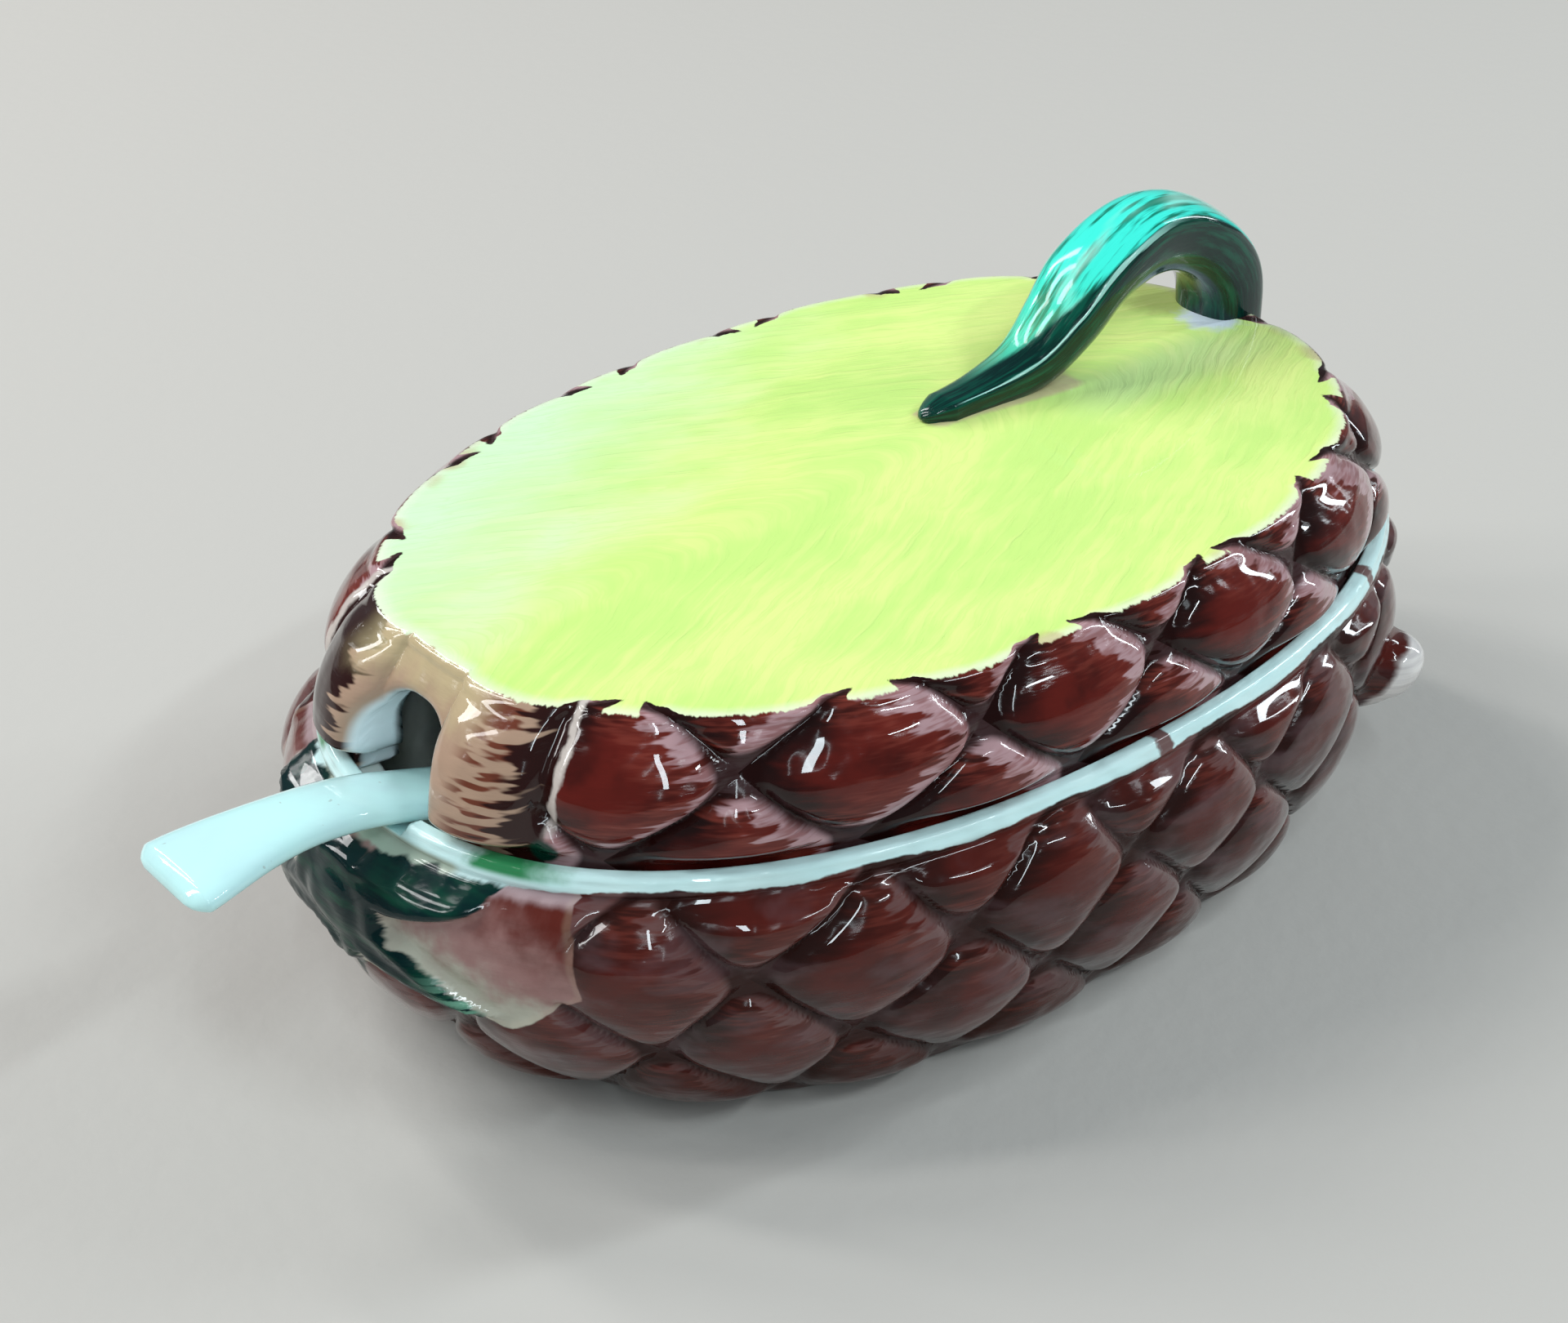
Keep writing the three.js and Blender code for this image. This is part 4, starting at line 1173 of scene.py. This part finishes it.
def dish_glaze(colours, sizes, girth):
    """Painted glaze of the dish: on the scales lie the smooth patch, the crown's leaves, the rim's band,
    the white inside, the stub and the bare underside, one over the other."""
    glaze = Glaze(bpy.data.materials.new("dish glaze"))
    skin = glaze.skin(girth)
    level, along = skin[2:]
    crown, patch, stub = (glaze.fact(name) for name in ("crown", "patch", "stub"))
    away = abs(along)
    ragged = glaze.strokes(skin, 2.2, 2.2, 3.0, 3.0) - 0.5
    fine = glaze.strokes(skin, 5.0, 0.5, 7.0) - 0.5

    net = glaze.chart("net")
    scales, valley = painted_scale(glaze, colours, skin, net, sizes.scales, colours.mauve, 0.13, 2.0)
    # sheen: a painted reflection, a greyish sheen laid as ash over the scales' flanks
    sheen = glaze.strokes(skin, 7.0, 3.0, 12.0, 3.0).step(0.46, 0.70)
    # painted shade: the scales darken towards the foot
    low = level.step(15.0, 3.0)
    scales = glaze.layers(
        scales, (0.42 + sheen * 0.1, TINTS.umber), (sheen * 0.32, TINTS.ash), (low * 0.65, TINTS.peat)
    )

    fall = (sizes.height - level) / 14 + (24 - away) / 34 + ragged * 0.5
    smooth_patch = glaze.layers(
        TINTS.brick,
        (fall.step(0.2, 0.85), TINTS.rose),
        (fall.step(0.78, 1.2), TINTS.sage),
        ((level + ragged).step(30.6, 31.4) * 0.7, TINTS.lilac),
        ((patch + ragged).step(1.1, 0.5) * 0.12, TINTS.clay),
    )

    on_leaf = (crown + ragged * 0.9 + fine * 1.2).step(0.1, 0.5)
    leaf_tip = away.step(9.0, 17.0) * level.step(25.0, 22.0)
    leaf = glaze.layers(
        colours.teal,
        (glaze.strokes(skin, 6.0, 1.0, 11.0, 3.0).step(0.46, 0.78) * 0.8, colours.leaf),
        (leaf_tip * fine.step(-0.08, 0.10), TINTS.sea_green),
    )

    waves = 0.3 * glaze.math("COSINE", along * (2 * math.pi * sizes.scales / girth))
    near_crown = away.step(24.0, 12.0) * 1.2
    on_band = (level + ragged * 0.8 + waves + near_crown).step(32.15, 32.4)
    inside = level.step(37.0, 38.0)
    bare = level.step(-0.4, -1.2)
    hollow = glaze.blend(glaze.strokes(skin, 20.0, 12.0, 4.0), colours.white, TINTS.ivory)
    cut = glaze.blend(fine.step(-0.1, 0.3) * 0.6, TINTS.chalk, TINTS.stone)
    colour = glaze.layers(
        scales,
        ((patch + ragged * 0.5).step(0.0, 0.25), smooth_patch),
        (on_leaf, leaf),
        (on_band, dish_band(glaze, colours, skin, away, ragged)),
        (inside, hollow),
        ((stub + ragged * 0.6).step(0.2, 0.6), cut),
        (bare, colours.bisque),
    )
    leaf_dull = on_leaf * (0.4 + 0.5 * level.step(28.0, 20.0))
    dull = glaze.most(low * 0.75, valley * 0.6, leaf_dull) * (1 - on_band) * (1 - inside)
    coat = 1 - glaze.most(bare, dull)
    return glaze.finish(glaze.shader(colour, 0.16 + bare * 0.55, coat, glaze.wave(skin, 2.0), WAVE_DEPTH))


def dish_band(glaze, colours, skin, away, ragged):
    """Colour of the rim's band: white glaze, painted brighter and aqua as a painted reflection of the light
    on the glossy band, brushed green towards the crown, with brown breaks where scales meet."""
    level, along = skin[2:]
    beside = away + ragged * 5
    green = beside.step(11.5, 14.5) * beside.step(25.0, 18.0) * level.step(32.2, 33.0)
    olive = away.step(12.5, 11.0) * level.step(32.6, 31.8)
    breaks = (1 - abs(along - place + ragged * 2.5).step(0.7, 1.2) for place in BAND_BREAKS)
    # the aqua white and the aqua strokes are white glaze with a painted reflection of the light
    return glaze.layers(
        TINTS.aqua_white,
        (glaze.strokes(skin, 9.0, 2.0, 6.0), TINTS.aqua),
        (green * 0.95, TINTS.emerald),
        (olive * 0.6, TINTS.olive),
        (glaze.most(*breaks) * 0.9, colours.maroon),
    )


def slice_flesh(glaze, colours, place, rise, ragged):
    """Colour of the slice, and its fibres and clouds: fibres fan out from the middle line, with a mint far
    end and a paler streak beside the stem, both painted reflections, a cream edge, bare clay where the
    glaze round the stem's tip is thin, and spots for a painted shadow of the stem and a painted highlight
    by its foot."""
    x, y = place
    clouds = glaze.noise(x / 20, y / 14, 29.0, 3.0)
    beside = (y**2 + 12.0) ** 0.5
    across_fibre, along_fibre = x * 0.42 + beside * 0.91 + clouds * 5, beside * 0.42 - x * 0.91
    fibres = glaze.noise(across_fibre / 1.1, along_fibre / 14, y / 60, 3.0, 0.55, 0.3)
    # painted reflection: a pale streak on the slice beside the stem
    reflection_streak = abs(y + 3.5 + clouds * 3).step(7.0, 1.0) * abs(x - 40).step(20.0, 6.0)
    vein = abs(fibres - 0.5).step(0.03, 0.0) * clouds.step(0.35, 0.6)
    edge = rise + ragged * 0.7
    tan = glaze.noise(x / 9, y / 9, 41.0).step(0.56, 0.66) * edge.step(3.0, 0.4)
    bare = (glaze.fact("fillet") + ragged * 0.3).step(0.45, 0.9) * (x + ragged * 12).step(38.0, 26.0)
    # the painted shadow of the stem and the painted highlight by its foot
    spots = []
    for (spot_x, spot_y), radius, strength, tint in SLICE_SPOTS:
        gap = glaze.distance(x - spot_x, y - spot_y) + ragged * 4
        spots.append((gap.step(radius, radius * 0.4) * strength, tint))
    # the pale mint towards the far left end is a painted reflection of the light
    flesh = glaze.layers(
        colours.lime,
        ((clouds * 0.66 + fibres * 0.34).step(0.38, 0.62), colours.lemon),
        ((y / 38 - x / 75 + clouds).step(0.9, 1.9) * 0.85, TINTS.pale_mint),
        (reflection_streak * 0.3, TINTS.pale_lime),
        (vein * 0.16, TINTS.grass),
        (edge.step(1.8, 0.1) * 0.7, colours.cream),
        (tan * 0.6, TINTS.tan),
        (bare * 0.8, TINTS.biscuit),
        *spots,
    )
    return flesh, fibres, clouds


def lid_glaze(colours, sizes, dish_sizes, girth):
    """Painted glaze of the lid: scales with two brushed lobes beside the notch, the slice's flesh over a
    ragged bound at its edge, and the white hollow."""
    glaze = Glaze(bpy.data.materials.new("lid glaze"))
    skin = glaze.skin(girth)
    level, along = skin[2:]
    x, y, z = glaze.place()
    away = abs(along)
    top = dish_sizes.height + sizes.rise
    ragged = glaze.noise(x / 2.0, y / 2.0, z / 2.5, 3.0) - 0.5
    comb = glaze.strokes(skin, 5.0, 0.8, 17.0, 1.5) - 0.5
    hairs = glaze.strokes(skin, 0.6, 3.5, 19.0) - 0.5
    net = glaze.chart("net")
    scales, valley = painted_scale(glaze, colours, skin, net, sizes.scales, colours.pink, 0.20, 21.0)

    lobe_end = sizes.notch_width / 2 + sizes.lobe_width
    part = (away - sizes.notch_width / 2) / sizes.lobe_width
    far = along.step(1.0, -1.0)
    brushed = (comb * 1.6).step(-0.02, 0.10) * part.step(0.12, 0.4) * (1 - far * 0.7)
    crest = part.step(0.5, 0.0) * (level + ragged * 3).step(top - 5, top - 1)
    lobe = glaze.layers(
        colours.beige,
        (brushed, TINTS.chestnut),
        ((part + comb * 0.9 + far * 0.55).step(0.62, 0.72), TINTS.burnt),
        (crest * 0.7, TINTS.sand),
    )
    on_lobe = 1 - (away + ragged * 0.8).step(lobe_end - 0.2, lobe_end + 0.3)
    cream_line = abs(away - lobe_end - 0.3 + ragged * 1.6).step(0.7, 0.2) * level.step(35.5, 38.0)
    green_blob = 1 - glaze.distance(away - lobe_end, level - 34.6).step(1.2, 1.8)

    flesh, fibres, clouds = slice_flesh(glaze, colours, (x, y), level - top, ragged)
    groove_gap = glaze.least(*(0.5 - abs(value - round(value)) for value in net))
    horn = groove_gap.step(0.10, 0.0) * away.step(lobe_end - 6, lobe_end - 1)
    bound = top + 0.15 + horn * 2.0 + hairs * 0.9 + ragged * 1.0
    hollow = glaze.blend(glaze.noise(x / 14, y / 14, 5.0), colours.white, TINTS.frost)
    colour = glaze.layers(
        scales,
        (on_lobe, lobe),
        (cream_line * 0.9, TINTS.oat),
        (green_blob, TINTS.bottle_green),
        ((level - bound).step(-0.12, 0.15), flesh),
        (glaze.fact("inner").step(0.35, 1.3), hollow),
    )
    on_slice = level.step(top, top + 1.5)
    wave = glaze.wave(skin, 8.0) * (1 - on_slice) + (fibres * 0.4 + clouds * 0.4) * on_slice
    coat = 1 - on_slice * 0.5 - valley * 0.5 * (1 - on_slice) * (1 - on_lobe)
    return glaze.finish(glaze.shader(colour, 0.15 + on_slice * 0.15, coat, wave, WAVE_DEPTH))


def handle_glaze(colours):
    """Brushed green glaze of the stem, with painted light and shade: mint on its upper, lit face, dark on the
    near, shaded one and darker still towards the foot, and a pale line along the sharp edge between them,
    partly the glaze thinning there and partly a painted highlight."""
    glaze = Glaze(bpy.data.materials.new("handle glaze"))
    turn, reach = glaze.chart("skin")
    streaks = glaze.noise(turn * 34, reach / 9, 31.0, 3.0, 0.6)
    broad = glaze.noise(turn * 9, reach / 14, 37.0, 2.0)
    ragged_turn = turn + (streaks - 0.5) * 0.05
    bound = 0.25 + 0.155 * reach.step(10.0, 36.0)
    # painted light: the upper face takes the lit mint
    upper = ragged_turn.step(0.035, 0.075) * (ragged_turn - bound).step(0.0, -0.03)
    mint = glaze.layers(
        colours.mint,
        (streaks.step(0.47, 0.62), TINTS.jade),
        (broad.step(0.5, 0.66) * 0.6, TINTS.foam),
        (reach.step(30.0, 14.0) * 0.45, TINTS.apple),
    )
    # painted shade: the near face is dark green, darker still towards the foot
    dark = glaze.layers(
        TINTS.deep_teal,
        (streaks.step(0.42, 0.68), TINTS.pine),
        (reach.step(54.0, 74.0) * 0.85, TINTS.black_green),
    )
    # painted highlight along the sharp edge, partly the glaze thinning pale there
    edge_run = reach.step(3.0, 6.0) * (reach + broad * 14).step(48.0, 36.0)
    edge = abs(ragged_turn - 0.395 + (broad - 0.5) * 0.06).step(0.016, 0.006) * edge_run
    base = glaze.layers(dark, (upper * (0.1 + 0.9 * reach.step(6.0, 18.0)), mint), (edge * 0.75, TINTS.glint))
    wave = streaks * 0.6 + broad * 0.4
    return glaze.finish(glaze.shader(base, 0.14, 0.85, wave, 0.00025, {"Coat Roughness": 0.05}))


def spoon_glaze(colours):
    """Plain white glaze of the spoon, a little uneven, with a few specks."""
    glaze = Glaze(bpy.data.materials.new("spoon glaze"))
    x, y, z = glaze.place()
    clouds = glaze.noise(x / 9, y / 6, z / 6, 3.0)
    specks = glaze.noise(x / 0.8, y / 0.8, z / 0.8, 1.0).step(0.74, 0.80)
    base = glaze.layers(
        colours.spoon, (clouds.step(0.3, 0.8) * 0.5, TINTS.milk_blue), (specks * 0.4, TINTS.speck)
    )
    return glaze.finish(glaze.shader(base, 0.15, 1.0, clouds, 0.0003))


# Operators


def settings_of(context):
    """All settings of the dish in millimetres and plain values."""
    root = context.scene.pineapple_dish
    return SimpleNamespace(**{name: in_millimetres(getattr(root, name)) for name in GROUP_NAMES})


def dress(piece, body, node, material):
    """Gives a piece its glaze, lets it ride on its body and stand for its CAD node."""
    piece.data.materials.append(material)
    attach(piece, body)
    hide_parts(node)


class PINEAPPLE_OT_dish(bpy.types.Operator):
    """Make the scaled dish with its crown, rim and stub"""

    bl_idname = "pineapple.dish"
    bl_label = "Dish"

    def execute(self, context):
        s = settings_of(context)
        material = dish_glaze(s.colours, s.dish, Girth(s.dish).total)
        dress(build_dish(s.dish, s.spoon), "dish", "dish", material)
        return {"FINISHED"}


class PINEAPPLE_OT_lid(bpy.types.Operator):
    """Make the lid with its slice, scales, lobes and notch"""

    bl_idname = "pineapple.lid"
    bl_label = "Lid"

    def execute(self, context):
        s = settings_of(context)
        material = lid_glaze(s.colours, s.lid, s.dish, Girth(s.dish).total)
        dress(build_lid(s.lid, s.dish, s.handle), "lid", "lid", material)
        return {"FINISHED"}


class PINEAPPLE_OT_handle(bpy.types.Operator):
    """Make the stem that serves as the lid's handle"""

    bl_idname = "pineapple.handle"
    bl_label = "Handle"

    def execute(self, context):
        s = settings_of(context)
        stem = build_handle(s.handle, s.lid, s.dish)
        dress(stem, "lid", "lid_handle", handle_glaze(s.colours))
        return {"FINISHED"}


class PINEAPPLE_OT_spoon(bpy.types.Operator):
    """Make the spoon that lies in the notch"""

    bl_idname = "pineapple.spoon"
    bl_label = "Spoon"

    def execute(self, context):
        s = settings_of(context)
        dress(build_spoon(s.spoon, s.dish), "spoon", "spoon", spoon_glaze(s.colours))
        return {"FINISHED"}


def lamp(name, place, size, power, tint):
    """A rectangular soft lamp at a place in metres, aimed at the dish: its back looks away from there, its
    right side lies level."""
    data = bpy.data.lights.new(name, "AREA")
    data.shape = "RECTANGLE"
    data.size, data.size_y = size
    data.energy = power
    data.color = tint
    back = np.subtract(place, LAMP_AIM)
    back /= np.linalg.norm(back)
    right = np.cross([0, 0, 1], back)
    right /= np.linalg.norm(right)
    stand(name, data, place, np.stack([right, np.cross(back, right), back], -1))


def stand(name, data, place, turn):
    """An object at a place in metres, turned by a matrix whose columns are its axes."""
    item = bpy.data.objects.new(name, data)
    item.matrix_world = Matrix.Translation(place) @ Matrix(turn.tolist()).to_4x4()
    bpy.context.scene.collection.objects.link(item)
    return item


def make_camera(studio):
    """The camera: it looks back along a direction given by turn and tilt, rolled about it, and stands off
    the line from the dish by a shift to its right and up."""
    cos_turn, sin_turn = math.cos(studio.turn), math.sin(studio.turn)
    level = math.cos(studio.tilt)
    back = np.array([sin_turn * level, -cos_turn * level, math.sin(studio.tilt)])
    right = np.array([cos_turn, sin_turn, 0])
    up = np.cross(back, right)
    cos, sin = math.cos(studio.roll), math.sin(studio.roll)
    axes = np.stack([cos * right + sin * up, cos * up - sin * right, back])
    place = (axes.T @ np.array([*CAMERA_SHIFT, studio.distance]) - [0, 0, CAMERA_DROP]) / 1000
    data = bpy.data.cameras.new("camera")
    data.lens = studio.lens
    data.sensor_width = 36
    return stand("camera", data, place.tolist(), axes.T)


def room_light():
    """The world: a weak cool light all round, which the camera sees as the pale backdrop."""
    room = Glaze(bpy.data.worlds.new("room"))
    light = room.add("ShaderNodeBackground", None, {"Color": (*SKY, 1), "Strength": SKY_STRENGTH})
    seen = room.add("ShaderNodeBackground", None, {"Color": (*BACKDROP, 1)})
    camera_ray = room.add("ShaderNodeLightPath")
    return room.finish(room.add("ShaderNodeMixShader", None, {0: camera_ray, 1: light, 2: seen}))


def floor_paper(colour):
    """Plain paper, which goes over into the pale backdrop far from the dish."""
    paper = Glaze(bpy.data.materials.new("floor paper"))
    x, y, _ = paper.place()
    grain = paper.noise(x / 3, y / 3, 1.0, 3.0)
    near = paper.shader(paper.blend(grain * 0.06, colour, GREY), 0.85, 0.0, grain, 0.0001)
    far = paper.add("ShaderNodeEmission", None, {"Color": (*BACKDROP, 1)})
    seen = paper.distance(x, y).step(350.0, 900.0) * paper.add("ShaderNodeLightPath")
    return paper.finish(paper.add("ShaderNodeMixShader", None, {0: seen, 1: near, 2: far}))


def make_floor(colour):
    """The floor: a flat square of eight by eight faces."""
    line = np.linspace(-9, 9, 9)
    x, y = np.meshgrid(line, line)
    index = np.arange(x.size).reshape(x.shape)
    faces = np.stack([index[:-1, :-1], index[:-1, 1:], index[1:, 1:], index[1:, :-1]], -1).reshape(-1, 4)
    mesh = bpy.data.meshes.new("floor")
    mesh.from_pydata(np.stack([x, y, 0 * x], -1).reshape(-1, 3).tolist(), [], faces.tolist())
    mesh.materials.append(floor_paper(colour))
    floor = bpy.data.objects.new("floor", mesh)
    bpy.context.scene.collection.objects.link(floor)
    return floor


class PINEAPPLE_OT_studio(bpy.types.Operator):
    """Set up the camera, the lamps and the floor"""

    bl_idname = "pineapple.studio"
    bl_label = "Studio"

    def execute(self, context):
        studio = settings_of(context).studio
        scene = context.scene
        scene.view_settings.view_transform = "Standard"
        scene.camera = make_camera(studio)
        for values in LAMPS:
            lamp(*values)
        scene.world = room_light()
        floor = make_floor(studio.floor)
        floor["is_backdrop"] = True
        return {"FINISHED"}


class PINEAPPLE_PT_panel(bpy.types.Panel):
    """Lists the pieces of the pineapple dish"""

    bl_idname = "PINEAPPLE_PT_panel"
    bl_label = "Pineapple Dish"
    bl_space_type = "VIEW_3D"
    bl_region_type = "UI"
    bl_category = "Pineapple Dish"

    def draw(self, context):
        for operator in OPERATORS:
            self.layout.operator(operator.bl_idname)
        for name in GROUP_NAMES:
            group = getattr(context.scene.pineapple_dish, name)
            box = self.layout.box()
            box.label(text=name.capitalize())
            for prop in own_props(group):
                box.prop(group, prop.identifier)


class PineappleDish(bpy.types.PropertyGroup):
    """Everything that can be set on the pineapple dish."""

    dish: PointerProperty(type=DishSizes)
    lid: PointerProperty(type=LidSizes)
    handle: PointerProperty(type=HandleSizes)
    spoon: PointerProperty(type=SpoonSizes)
    colours: PointerProperty(type=GlazeColours)
    studio: PointerProperty(type=StudioSettings)


GROUPS = (DishSizes, LidSizes, HandleSizes, SpoonSizes, GlazeColours, StudioSettings, PineappleDish)
OPERATORS = (
    PINEAPPLE_OT_studio,
    PINEAPPLE_OT_dish,
    PINEAPPLE_OT_lid,
    PINEAPPLE_OT_handle,
    PINEAPPLE_OT_spoon,
)


def register():
    """Registers the settings, the operators and the panel."""
    for item in (*GROUPS, *OPERATORS, PINEAPPLE_PT_panel):
        bpy.utils.register_class(item)
    bpy.types.Scene.pineapple_dish = PointerProperty(type=PineappleDish)


def unregister():
    """Takes back what register did."""
    del bpy.types.Scene.pineapple_dish
    for item in reversed((*GROUPS, *OPERATORS, PINEAPPLE_PT_panel)):
        bpy.utils.unregister_class(item)


def main():
    """Builds every piece."""
    register()
    make = bpy.ops.pineapple
    for piece in (make.studio, make.dish, make.lid, make.handle, make.spoon):
        piece()
    sizes = {"cad": cad_bounds, "visual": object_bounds()}
    plain = {name: [[float(v) for v in corner] for corner in box] for name, box in sizes.items()}


if __name__ == "__main__":
    main()
